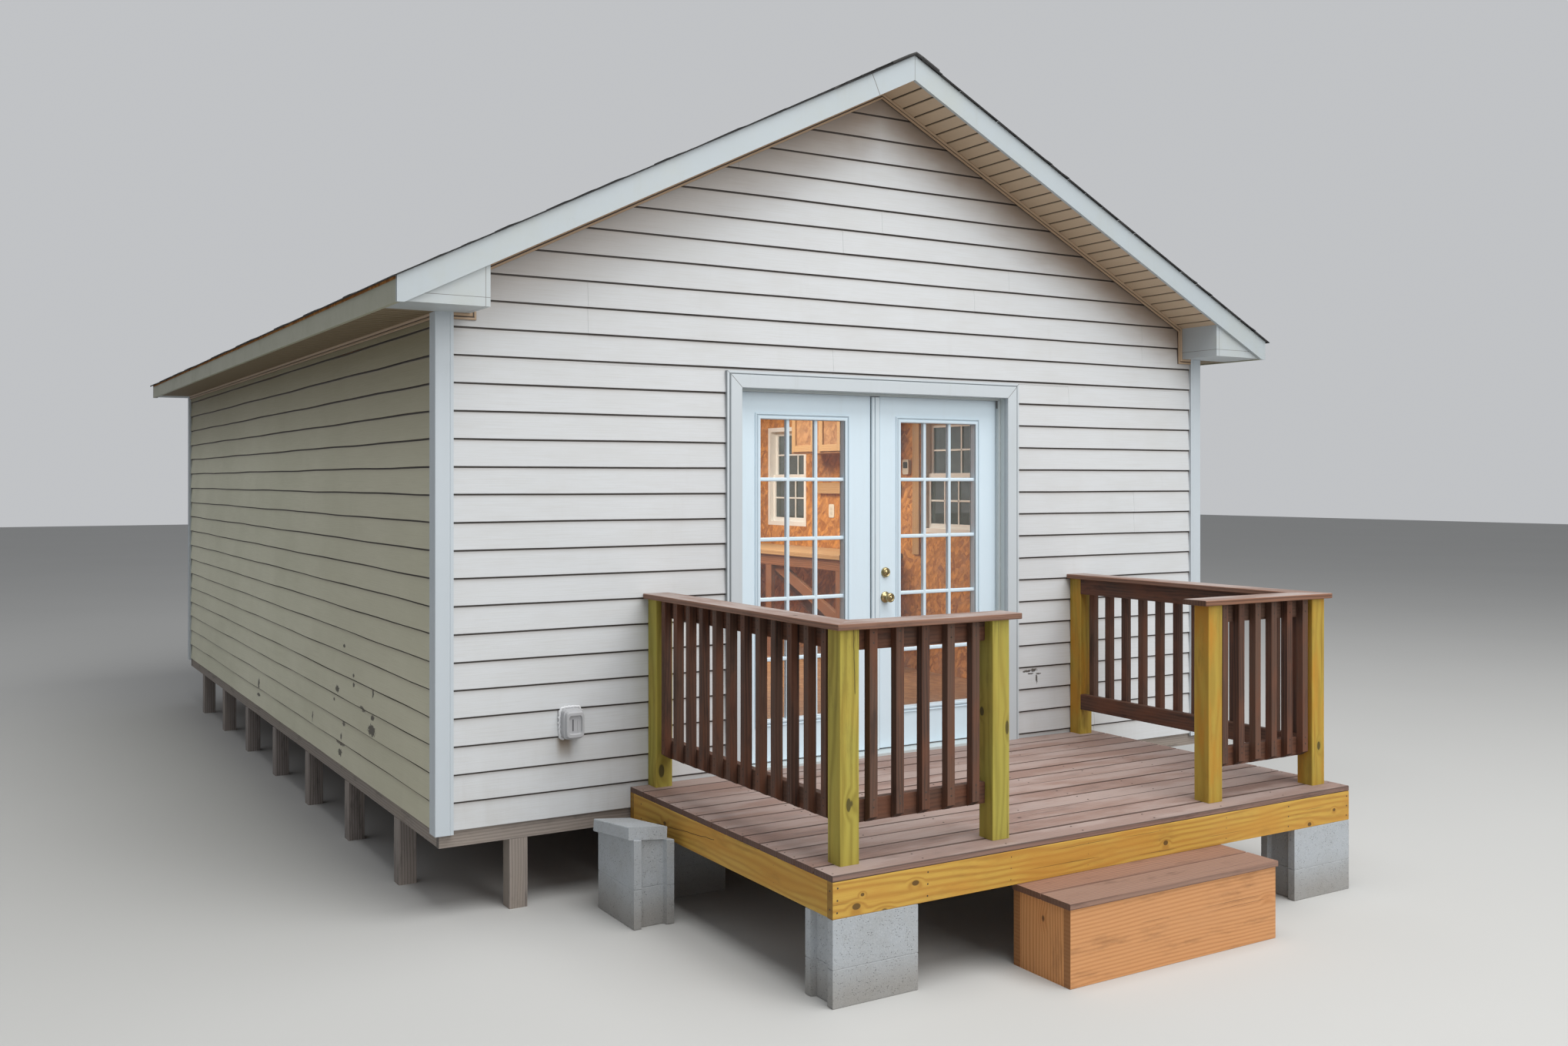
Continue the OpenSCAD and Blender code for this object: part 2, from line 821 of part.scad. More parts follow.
// Turned piece on the outer face of the leaf: list of radius and distance from the face
module turned(x, z, outline) {
    translate([x, leaf_y0 - hair, z]) rotate([90, 0, 0]) rotate_extrude($fn = 48) polygon(outline);
}

module door_locks() {
    knob = [[0, 0], [rose_r, 0], [rose_r, 4], [rose_r - 8, 9], [12, 11], [12, 26],
        [20, 31], [26, 38], [27, 46], [24, 53], [16, 58], [0, 60]];
    rim = [[0, 0], [rose_r - 3, 0], [rose_r - 6, 14], [rose_r - 12, 18], [0, 18]];
    thumb = [[0, 0], [rose_r, 0], [rose_r, 4], [rose_r - 10, 10], [0, 10]];
    color("goldenrod") {
        turned(knob_x, knob_z, knob);
        turned(knob_x, knob_z + bolt_up, rim);
        translate([0, leaf_y0 + leaf_y1, 0]) mirror([0, 1, 0]) {
            turned(knob_x, knob_z, knob);
            turned(knob_x, knob_z + bolt_up, thumb);
        }
    }
}

// Three of its child, at the hinge pins of the right leaf
module at_hinges() {
    color("goldenrod") for (z = hinge_zs) translate([hinge_x, hinge_y, z]) children();
}

// Plate of a hinge, reaching to +x of the pin, with its knuckles at the heights zs
module hinge_plate(zs) {
    block([knuckle_r + hair, -knuckle_r, 0], [plate_w, plate_t - knuckle_r, hinge_h]);
    for (z = zs) translate([0, 0, z]) {
        cylinder(r = knuckle_r, h = knuckle_h, $fn = 24);
        block([0, -knuckle_r, 0], [knuckle_r + hair + bite, plate_t - knuckle_r, knuckle_h]);
    }
}

module jamb_hinges() {
    both_sides() at_hinges() hinge_plate([0, 2 * (knuckle_h + hair)]);
}

// Hinge plates of the leaf on the right
module leaf_hinges() {
    at_hinges() mirror([1, 0, 0]) hinge_plate([knuckle_h + hair]);
}

module left_leaf_hinges() {
    mirror([1, 0, 0]) leaf_hinges();
}

module right_leaf_hinges() {
    leaf_hinges();
}

// Windows

module window_frames() {
    x0 = room_half;
    color("white") for (y = win_ys) difference() {
        block([x0, y - win_w / 2, win_z], [frame_half, y + win_w / 2, win_z + win_h]);
        block([x0 - over, y - win_w / 2 + win_frame, win_z + win_frame],
            [frame_half + over, y + win_w / 2 - win_frame, win_z + win_h - win_frame]);
    }
}

// Sash with its glazing bars, outer face at x1
module sash(x1, y, z0, h) {
    w = win_w - 2 * win_frame;
    in_w = w - 2 * sash_w;
    in_h = h - 2 * sash_w;
    difference() {
        block([x1 - sash_t, y - w / 2, z0], [x1, y + w / 2, z0 + h]);
        block([x1 - sash_t - over, y - in_w / 2, z0 + sash_w],
            [x1 + over, y + in_w / 2, z0 + h - sash_w]);
    }
    bar_x = x1 - sash_t / 2 + glass_t / 2 + hair;
    bar_t = x1 - 2 * bite - bar_x;
    for (i = [1 : win_panes_x - 1])
        translate([bar_x, y - in_w / 2 + i * in_w / win_panes_x - win_bar / 2, z0 + sash_w - bite])
            cube([bar_t, win_bar, in_h + 2 * bite]);
    for (k = [1 : win_panes_z - 1])
        translate([bar_x, y - in_w / 2 - bite, z0 + sash_w + k * in_h / win_panes_z - win_bar / 2])
            cube([bar_t, in_w + 2 * bite, win_bar]);
}

module window_sashes() {
    h = (win_h - 2 * win_frame + sash_w) / 2;
    upper_x = frame_half - sash_in;
    color("white") for (y = win_ys) {
        sash(upper_x, y, win_z + win_frame + h - sash_w, h);
        sash(upper_x - sash_t - hair, y, win_z + win_frame, h);
    }
}

module window_glass() {
    h = (win_h - 2 * win_frame + sash_w) / 2;
    upper_x = frame_half - sash_in;
    w = win_w - 2 * win_frame - 2 * sash_w - 2 * hair;
    color("lightblue", 0.4) for (y = win_ys, s = [0, 1])
        translate([upper_x - s * (sash_t + hair) - sash_t / 2 - glass_t / 2, y - w / 2,
            win_z + win_frame + (1 - s) * (h - sash_w) + sash_w + hair])
            cube([glass_t, w, h - 2 * sash_w - 2 * hair]);
}

module window_trims() {
    color("lightsteelblue") for (y = win_ys) difference() {
        block([frame_half, y - win_w / 2 - win_trim, win_z - win_trim],
            [half_w + trim_proud, y + win_w / 2 + win_trim, win_z + win_h + win_trim]);
        block([frame_half - over, y - win_w / 2, win_z],
            [half_w + trim_proud + over, y + win_w / 2, win_z + win_h]);
    }
}

// Deck

module deck_frame() {
    top = deck_z - plank_t;
    joist_n = round(deck_w / joist_step);
    spacing = (deck_w - lumber_t) / joist_n;
    color("goldenrod") {
        for (y = [-deck_d, -lumber_t - hair])
            block([deck_x0, y, deck_joist_z], [deck_x1, y + lumber_t, top]);
        for (k = [0 : joist_n])
            translate([deck_x0 + k * spacing, -deck_d + lumber_t + hair, deck_joist_z])
                cube([lumber_t, deck_d - 2 * lumber_t - 3 * hair, deck_joist_h]);
    }
}

module deck_boards() {
    plank_w = (deck_d - hair + plank_gap) / planks - plank_gap;
    color("rosybrown") for (k = [0 : planks - 1])
        translate([deck_x0, -deck_d + k * (plank_w + plank_gap), deck_z - plank_t])
            cube([deck_w, plank_w, plank_t]);
}

module deck_piers() {
    color("lightgray") for (x = [deck_x0 + pier_in, deck_x1 - pier_in - block_l])
        for (y = [-deck_d, -lumber_t - block_w])
            translate([x, y, 0]) cube([block_l, block_w, deck_joist_z]);
}

post_places = [
    [left_post_x, -post_w - hair], [left_post_x, front_post_y],
    [entry_x0 - post_w, front_post_y], [entry_x1, front_post_y],
    [right_post_x, front_post_y], [right_post_x, -post_w - hair]
];

module deck_posts() {
    color("yellowgreen") for (p = post_places)
        translate([p[0], p[1], deck_z]) cube([post_w, post_w, post_h]);
}

// Rail panel of length l along x with n balusters on its outer face, to -y
module rail_panel(l, n, gap) {
    spacing = (l - 2 * gap - baluster_w) / (n - 1);
    top = cap_z - rail_z;
    y1 = post_w;
    y0 = y1 - lumber_t;
    translate([0, y0, 0]) cube([l, lumber_t, rail_h]);
    translate([0, y0, top - rail_h]) cube([l, lumber_t, rail_h]);
    for (k = [0 : n - 1])
        translate([gap + k * spacing, y0 - baluster_w, 0])
            rotate([90, 0, 90]) linear_extrude(baluster_w)
                polygon([[0, baluster_w * 0.6], [baluster_w, 0], [baluster_w, top], [0, top]]);
}

module left_front_rail() {
    l = entry_x0 - post_w - left_post_x - post_w;
    color("saddlebrown") translate([left_post_x + post_w, front_post_y, rail_z])
        rail_panel(l, left_balusters, left_gap);
}

module right_front_rail() {
    l = right_post_x - entry_x1 - post_w;
    color("saddlebrown") translate([entry_x1 + post_w, front_post_y, rail_z])
        rail_panel(l, right_balusters, right_gap);
}

module side_rail() {
    l = -front_post_y - 2 * post_w - hair;
    rotate([0, 0, -90]) rail_panel(l, side_balusters, side_gap);
}

module left_side_rail() {
    color("saddlebrown") translate([left_post_x, -post_w - hair, rail_z]) side_rail();
}

module right_side_rail() {
    color("saddlebrown") translate([right_post_x + post_w, -post_w - hair, rail_z])
        mirror([1, 0, 0]) side_rail();
}

// Cap boards of one corner: along the side and along the front to x1
module cap_corner(x0, x1) {
    y0 = front_post_y - cap_over;
    translate([0, 0, cap_z]) linear_extrude(cap_t) union() {
        translate([x0 - cap_over, y0]) square([cap_w, -hair - y0]);
        translate([x0 - cap_over, y0]) square([x1 - x0 + cap_over, cap_w]);
    }
}

module rail_caps() {
    color("dimgray") {
        cap_corner(left_post_x, entry_x0 + cap_end);
        mirror([1, 0, 0]) cap_corner(-right_post_x - post_w, -entry_x1 + cap_end);
    }
}

// Step

module step_box() {
    x0 = deck_x + step_x - step_w / 2;
    inset = 8;
    top = step_z - plank_t;
    color("sienna") difference() {
        block([x0 + inset, step_y0 + inset, 0], [x0 + step_w - inset, step_y1, top]);
        block([x0 + inset + lumber_t, step_y0 + inset + lumber_t, -over],
            [x0 + step_w - inset - lumber_t, step_y1 - lumber_t, top + over]);
    }
}

module step_treads() {
    x0 = deck_x + step_x - step_w / 2;
    board = (step_y1 - step_y0 - plank_gap) / 2;
    color("sienna") for (k = [0, 1])
        translate([x0, step_y0 + k * (board + plank_gap), step_z - plank_t])
            cube([step_w, board, plank_t]);
}

// Fittings

// Hollow concrete block under a slab, against the side of the deck
module block_stack() {
    x1 = deck_x0 - hair;
    top = siding_z + slab_rise;
    color("lightgray") {
        block([x1 - slab_w, -slab_y - slab_l, top - slab_t], [x1, -slab_y, top]);
        block([x1 - slab_w + slab_over, -slab_y - slab_l + slab_over, 0],
            [x1 - slab_over, -slab_y - slab_over, top - slab_t]);
    }
}

module outlet_cover() {
    x1 = outlet_x0 + outlet_w;
    z1 = outlet_z + outlet_h;
    color("darkgray") hull() {
        block([outlet_x0, -outlet_plate, outlet_z], [x1, -hair, z1]);
        block([outlet_x0 + outlet_side, -outlet_d, outlet_z + outlet_side],
            [x1 - outlet_side, -outlet_plate, z1 - outlet_top]);
    }
}

module workbench() {
    x0 = room_half - bench_d;
    x1 = room_half - hair;
    leg_x = x0 + bench_over;
    brace_x = leg_x + lumber_t;
    top = floor_z + bench_h;
    under = top - lumber_t;
    foot = floor_z + brace_rise;
    brace_h = lumber_t * 3.4;
    spacing = (bench_l - bench_leg) / (bench_legs - 1);
    color("sienna") {
        block([x0, bench_y, under], [x1, bench_y + bench_l, top]);
        block([leg_x, bench_y, under - bench_leg], [brace_x, bench_y + bench_l, under]);
        for (k = [0 : bench_legs - 1]) translate([0, bench_y + k * spacing, 0]) {
            block([leg_x, 0, floor_z], [brace_x, bench_leg, under]);
            along_y(0, lumber_t) polygon([
                [x1, foot], [x1, foot + brace_h],
                [brace_x - bite, under], [brace_x - bite, under - brace_h]
            ]);
        }
    }
}

module wall_cupboards() {
    z0 = siding_z + cupboard_rise;
    color("sienna") block([room_half - cupboard_d, cupboard_y, z0],
        [room_half - hair, cupboard_y + cupboard_l, z0 + cupboard_h]);
}

place() house_posts();
place() floor_frame();
place() floor_panels();  // floor
place() left_wall();
place() right_wall();
place() back_wall();
place() front_wall_left();
place() front_wall_right();
place() front_gable();
place() siding_front();
place() siding_back();
place() siding_left();
place() siding_right();
place() corner_posts();
place() roof_left();
place() roof_right();
place() shingles_left();
place() shingles_right();
place() ridge_cap();
place() rake_fascias();
place() eave_fascias();
place() rake_soffits();
place() eave_soffits();
place() eave_returns();
place() soffit_channels();
place() door_frame();
place() door_sill();
place() door_trim();
place() door_leaf_left();
place() door_leaf_right();
place() door_glass_left();
place() door_glass_right();
place() astragal();
place() door_locks();
place() jamb_hinges();
place() left_leaf_hinges();
place() right_leaf_hinges();
place() window_frames();
place() window_sashes();
place() window_glass();
place() window_trims();
place() deck_frame();
place() deck_boards();
place() deck_piers();
place() deck_posts();
place() left_side_rail();
place() left_front_rail();
place() right_side_rail();
place() right_front_rail();
place() rail_caps();
place() step_box();
place() step_treads();
place() block_stack();
place() outlet_cover();
place() workbench();
place() wall_cupboards();
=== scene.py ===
"""Looks of a small gabled garden cabin: lap siding, shingled roof, glazed doors and a railed deck.

Metres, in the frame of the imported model: x runs along the front wall, y into the cabin, z up.
"""

import logging
import math
from dataclasses import dataclass, field, replace
from enum import Enum
from functools import partialmethod, reduce
from typing import Optional, Protocol, Sequence, Union

import bpy
import numpy as np
from bpy.types import ID, Material, NodeSocket, Object
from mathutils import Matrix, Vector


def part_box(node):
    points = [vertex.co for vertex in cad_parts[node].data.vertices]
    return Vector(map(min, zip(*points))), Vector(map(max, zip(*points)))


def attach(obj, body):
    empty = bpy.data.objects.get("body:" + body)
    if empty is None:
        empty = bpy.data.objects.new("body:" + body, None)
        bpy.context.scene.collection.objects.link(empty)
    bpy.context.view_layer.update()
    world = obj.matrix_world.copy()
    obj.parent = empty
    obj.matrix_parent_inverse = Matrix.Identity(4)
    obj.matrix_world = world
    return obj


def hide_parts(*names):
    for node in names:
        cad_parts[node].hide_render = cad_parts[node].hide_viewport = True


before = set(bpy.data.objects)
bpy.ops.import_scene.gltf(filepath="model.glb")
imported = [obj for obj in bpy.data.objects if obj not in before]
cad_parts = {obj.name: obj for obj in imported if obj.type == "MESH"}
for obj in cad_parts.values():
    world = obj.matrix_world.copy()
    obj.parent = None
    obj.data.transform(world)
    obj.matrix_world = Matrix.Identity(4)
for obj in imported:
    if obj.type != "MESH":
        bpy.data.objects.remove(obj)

LOG = logging.getLogger("cabin")
Colour = tuple[float, float, float]
Point = tuple[float, float, float]
Amount = Union[float, "Val"]
Tone = Union[Colour, "Val"]
Edge = Optional[float]
Table = Optional[dict]
Array = np.ndarray
Mark = Union[float, np.ndarray]
Place = tuple["Val", "Val", "Val"]
Pair = tuple[float, float]
SKIN = 0.0003  # how far a face stands off the one behind it


# Shader expressions


class Val:
    """A shader socket that takes part in arithmetic, adding Math nodes as it does."""

    def __init__(self, shader: "Shader", socket: NodeSocket) -> None:
        """Wraps a socket of a shader's node tree."""
        self.shader = shader
        self.socket = socket

    def math(self, operation: str, *others: Amount, swap: bool = False) -> "Val":
        """Adds a Math node of that operation, where swap puts this value last, and returns its result."""
        values = [self, *others][:: -1 if swap else 1]
        return self.shader.node("ShaderNodeMath", {"operation": operation}, dict(enumerate(values)))

    __add__ = __radd__ = partialmethod(math, "ADD")
    __sub__ = partialmethod(math, "SUBTRACT")
    __rsub__ = partialmethod(math, "SUBTRACT", swap=True)
    __mul__ = __rmul__ = partialmethod(math, "MULTIPLY")
    __truediv__ = partialmethod(math, "DIVIDE")
    __pow__ = partialmethod(math, "POWER")

    def step(self, low: float, high: float) -> "Val":
        """Smooth rise from 0 at low to 1 at high; falls where low is above high."""
        if low > high:
            return 1 - self.step(high, low)
        limits = {"Value": self, "From Min": low, "From Max": high}
        return self.shader.node("ShaderNodeMapRange", {"interpolation_type": "SMOOTHSTEP"}, limits)

    def band(self, centre: float, half: float, soft: float) -> "Val":
        """1 within half of centre, falling to 0 over soft."""
        return (self - centre).math("ABSOLUTE").step(half + soft, half)


class Shader:
    """A material's node tree, filled by expressions."""

    def __init__(self, name: str) -> None:
        """Starts a material of that name with one Principled shader."""
        self.material = bpy.data.materials.new(name)
        self.material.use_nodes = True
        self.tree = self.material.node_tree
        self.surface = self.tree.nodes["Principled BSDF"]

    def node(
        self, kind: str, settings: Table = None, sockets: Table = None, out: Union[int, str] = 0
    ) -> Val:
        """Adds a node.

        Args:
            kind: the node's type.
            settings: its properties, and "stops" for a ramp's positions and colours.
            sockets: values or links of its inputs, by name or number.
            out: the output to return.

        Returns:
            The chosen output.
        """
        made = self.tree.nodes.new(kind)
        for key, value in (settings or {}).items():
            if key == "stops":
                ramp = made.color_ramp.elements
                while len(ramp) < len(value):
                    ramp.new(0.5)
                for element, (place, colour) in zip(ramp, value):
                    element.position, element.color = place, (*colour, 1.0)
            else:
                setattr(made, key, value)
        for key, value in (sockets or {}).items():
            self.feed(made.inputs[key], value)
        return Val(self, made.outputs[out])

    def feed(self, target: NodeSocket, value: object) -> None:
        """Links a Val to a socket, or sets the socket to a number or a colour.

        Args:
            target: the socket.
            value: what it gets.
        """
        if isinstance(value, Val):
            self.tree.links.new(value.socket, target)
        elif isinstance(value, (tuple, list)) and len(target.default_value) == 4:
            target.default_value = (*value, 1.0)[:4]
        else:
            target.default_value = value

    def _parts(self, coords: Val, count: int) -> tuple[Val, ...]:
        """The first components of a vector, as values."""
        split = self.node("ShaderNodeSeparateXYZ", sockets={0: coords}).socket.node
        return tuple(Val(self, output) for output in split.outputs[:count])

    def place(self) -> Place:
        """Object coordinates, in metres, as three values."""
        return self._parts(self.node("ShaderNodeTexCoord", out="Object"), 3)

    def flow(self) -> tuple[Val, Val]:
        """A piece's own UV map, in metres along it and round it."""
        return self._parts(self.node("ShaderNodeUVMap", {"uv_map": "flow"}), 2)

    def mark(self, name: str) -> Val:
        """A number kept on the mesh under that name."""
        return self.node("ShaderNodeAttribute", {"attribute_name": name}, out="Fac")

    def vector(self, x: Amount, y: Amount, z: Amount = 0.0) -> Val:
        """Three values as a vector."""
        return self.node("ShaderNodeCombineXYZ", sockets={0: x, 1: y, 2: z})

    def length(self, x: Amount, y: Amount, z: Amount = 0.0) -> Val:
        """Length of the vector of three values."""
        vector = self.vector(x, y, z)
        return self.node("ShaderNodeVectorMath", {"operation": "LENGTH"}, {0: vector}, out="Value")

    def noise(self, at: Val, scale: float = 1.0, detail: float = 3.0, rough: float = 0.55) -> Val:
        """Noise between about 0 and 1."""
        sizes = {"Vector": at, "Scale": scale, "Detail": detail, "Roughness": rough}
        return self.node("ShaderNodeTexNoise", sockets=sizes)

    def cells(self, at: Val, scale: float, out: str = "Distance") -> Val:
        """Voronoi cells: the distance to a cell's middle, or its random colour."""
        return self.node("ShaderNodeTexVoronoi", sockets={"Vector": at, "Scale": scale}, out=out)

    def chance(self, at: Val, scale: float) -> Val:
        """A random number for each Voronoi cell."""
        return self.node("ShaderNodeSeparateColor", sockets={0: self.cells(at, scale, "Color")})

    def mix(self, share: Amount, first: Tone, second: Tone) -> Val:
        """Mixes two colours."""
        return self.node("ShaderNodeMix", {"data_type": "RGBA"}, {0: share, 6: first, 7: second}, out=2)

    def coat(self, colour: Tone, *layers: tuple[Amount, Tone]) -> Val:
        """Lays tones over a colour in turn, each through its own mask."""
        return reduce(lambda ground, layer: self.mix(layer[0], ground, layer[1]), layers, colour)

    def ramp(self, value: Val, *stops: tuple[float, Colour]) -> Val:
        """Colour ramp over a value."""
        return self.node("ShaderNodeValToRGB", {"stops": stops}, {0: value})

    def done(
        self, colour: Tone, rough: Amount, relief: Optional[Val] = None, *size: float, **fixed: float
    ) -> Material:
        """Feeds the surface.

        Args:
            colour: base colour.
            rough: roughness.
            relief: height of the relief, 0 to 1.
            size: metres of relief for a height of 1, and the share of it that shows.
            fixed: constant sockets, named with _ for a space.

        Returns:
            The finished material.
        """
        self.feed(self.surface.inputs["Base Color"], colour)
        self.feed(self.surface.inputs["Roughness"], rough)
        for key, value in fixed.items():
            self.feed(self.surface.inputs[key.replace("_", " ")], value)
        if relief is not None:
            sizes = dict(zip(("Distance", "Strength", "Height"), (*size, relief)))
            self.feed(self.surface.inputs["Normal"], self.node("ShaderNodeBump", sockets=sizes))
        return self.material


# Finishes


class Finish(Protocol):
    """Anything that makes its own material."""

    def material(self) -> Material:
        """The material."""


def shade(colour: Colour, share: float) -> Colour:
    """A colour made darker or lighter by that share, 1 at most."""
    return tuple(min(1.0, part * share) for part in colour)


@dataclass(frozen=True)
class Knot:
    """A knot at a given place on a board: its middle and its half sizes."""

    at: Point
    half: Point

    def gap(self, s: Shader, place: Place) -> Val:
        """Distance from the knot's middle, 1 on its rim."""
        return s.length(*((value - spot) / size for value, spot, size in zip(place, self.at, self.half)))


@dataclass(frozen=True)
class Seam:
    """A thin dark joint or check: where the place along a direction equals a distance, inside limits."""

    along: Point
    at: float
    limits: tuple[tuple[int, float, float], ...] = ()
    half: float = 0.0008
    waver: float = 0.0

    def mask(self, s: Shader, place: Place) -> Val:
        """Marks the seam.

        Args:
            s: the material's shader.
            place: Object coordinates.

        Returns:
            1 on the seam and 0 elsewhere.
        """
        total = place[0] * self.along[0] + place[1] * self.along[1] + place[2] * self.along[2]
        if self.waver:
            total = total + (s.noise(s.vector(*place), 14.0) - 0.5) * self.waver
        found = total.band(self.at, self.half, self.half)
        for axis, low, high in self.limits:
            found = found * place[axis].math("GREATER_THAN", low) * place[axis].math("LESS_THAN", high)
        return found


@dataclass(frozen=True)
class WoodFinish:
    """Sawn timber: growth rings, fibres, knots, dirt and dark end grain, along the board's own flow.

    The fields after the two main colours are shares from 0 to 1, colours, and rings a metre.
    """

    name: str
    light: Colour
    dark: Colour
    tint: Colour = (0.3, 0.25, 0.2)
    tint_share: float = 0.3
    rings: float = 60.0
    swirl: float = 22.0
    figure: float = 0.5
    knots: float = 0.5
    spread: float = 0.5
    soil: float = 0.3
    edge_tone: Optional[Colour] = None
    edge_share: float = 0.25
    blush: Optional[Colour] = None
    blush_right: bool = False
    weathered_top_and_light: Optional[Colour] = None
    weathered_top_and_light_share: float = 0.8
    placed: tuple[Knot, ...] = ()
    checks: tuple[Seam, ...] = ()

    def material(self) -> Material:
        """Builds the material: rings are a sine of the place across the board bent by slow noise."""
        s = Shader(self.name)
        along, across = s.flow()
        place = s.place()
        board, edge, cut = s.mark("board"), s.mark("edge"), s.mark("cut")
        shifted = along + board * 31.0

        def grain(run: float, wide: float, own: Amount, detail: float, rough: float = 0.55) -> Val:
            """Noise stretched along the board."""
            return s.noise(s.vector(shifted * run, across * wide, own), 1.0, detail, rough)

        slow = grain(0.9, 5.0, board * 7.0, 2.0)
        spots, scale, rare = s.vector(shifted, across * 1.6, board * 3.0), 4.2, 1 - self.knots * 0.5
        away, chosen = s.cells(spots, scale), s.chance(spots, scale).step(rare, rare + 0.01)
        knot, around = away.step(0.085, 0.05) * chosen, away.step(0.30, 0.05) * chosen
        for spot in self.placed:
            gap = spot.gap(s, place)
            knot = knot.math("MAXIMUM", gap.step(1.1, 0.8))
            around = around.math("MAXIMUM", gap.step(3.0, 0.8))
        phase = across * (self.rings * 6.28) + slow * self.swirl + around * 5.0
        ring = (phase.math("SINE") * 0.5 + 0.5) ** 1.6
        fibre = grain(7.0, 420.0, board * 9.0, 3.0, 0.7)
        patch = grain(1.8, 6.0, board * 5.0, 4.0, 0.6)
        rings = (ring * self.figure + fibre * (1 - self.figure) * 1.1).step(0.05, 1.0)
        own = (board * 7.13).math("FRACT")
        colour = s.coat(
            self.light,
            (rings, self.dark),
            ((own - 0.5).math("ABSOLUTE") * (self.spread * 1.6), self.tint),
            (patch.step(0.45, 0.75) * self.tint_share, self.tint),
        )
        if self.blush:
            share = grain(2.3, 9.0, board * 3.0 + 2.0, 3.0).step(0.42, 0.68) * 0.75
            if self.blush_right:
                share = (share * 0.6 + 0.4) * place[0].step(-0.3, 0.3) + share * 0.25
            colour = s.mix(share, colour, self.blush)
        black = shade(self.dark, 0.22)
        grime = grain(3.0, 14.0, board, 5.0, 0.7)
        split = grain(1.2, 150.0, board * 13.0, 2.0, 0.5).step(0.70, 0.74)
        for seam in self.checks:
            split = split.math("MAXIMUM", seam.mask(s, place) * 1.5)
        colour = s.coat(
            colour,
            (grime.step(0.52, 0.72) * self.soil, black),
            (split * 0.55, black),
            (around * 0.35, self.dark),
            (knot * 0.88, black),
        )
        # upward faces: weathered grey, and lighter as painted light from above
        if self.weathered_top_and_light:
            normal = s.node("ShaderNodeNewGeometry", out="Normal")
            upward = s.node("ShaderNodeSeparateXYZ", sockets={0: normal}, out="Z")
            worn = patch.step(0.40, 0.60) * 0.55 + own * 0.30 + 0.25
            greyed_and_lit = (upward.step(0.5, 0.9) * (1 - knot) * worn).math("MINIMUM", 1.0)
            colour = s.mix(greyed_and_lit * self.weathered_top_and_light_share, colour, self.weathered_top_and_light)
        # eased edges: lighter as wear by default; the dark edge tones of the deck and step boards paint shade
        # in the gaps between boards
        colour = s.coat(
            colour,
            (edge.step(0.5, 1.0) * self.edge_share, self.edge_tone or shade(self.light, 1.25)),
            (cut * 0.65, shade(self.dark, 0.45)),
        )
        relief = fibre * 0.5 + ring * 0.3 - split * 1.2 - knot * 0.5
        return s.done(colour, fibre * 0.2 + 0.6, relief, 0.0012, 0.8)


@dataclass(frozen=True)
class Blot:
    """A splash on a wall: its middle along the wall and up, its half width and its half height."""

    along: float
    height: float
    half: float
    rise: float

    def mask(self, s: Shader, run: Val, z: Val, rag: Val) -> Val:
        """1 inside the splash, an ellipse whose rim is torn by noise, and 0 outside."""
        gap = s.length((run - self.along) / self.half, (z - self.height) / self.rise)
        return (gap + (rag - 0.5) * 2.6).step(1.0, 0.8)


@dataclass(frozen=True)
class Drip:
    """A brown run of water down a wall: its middle, its top, its half width and its length."""

    along: float
    top: float
    half: float
    drop: float

    def mask(self, run: Val, z: Val, sway: Val) -> Val:
        """1 at the top of the run, fading downwards and sideways."""
        fade = (run + (sway - 0.5) * 0.02).band(self.along, self.half * 0.4, self.half * 0.9)
        fall = (z - (self.top - self.drop)).step(0.0, self.drop)
        return fade * fall * z.step(self.top + 0.005, self.top - 0.005)


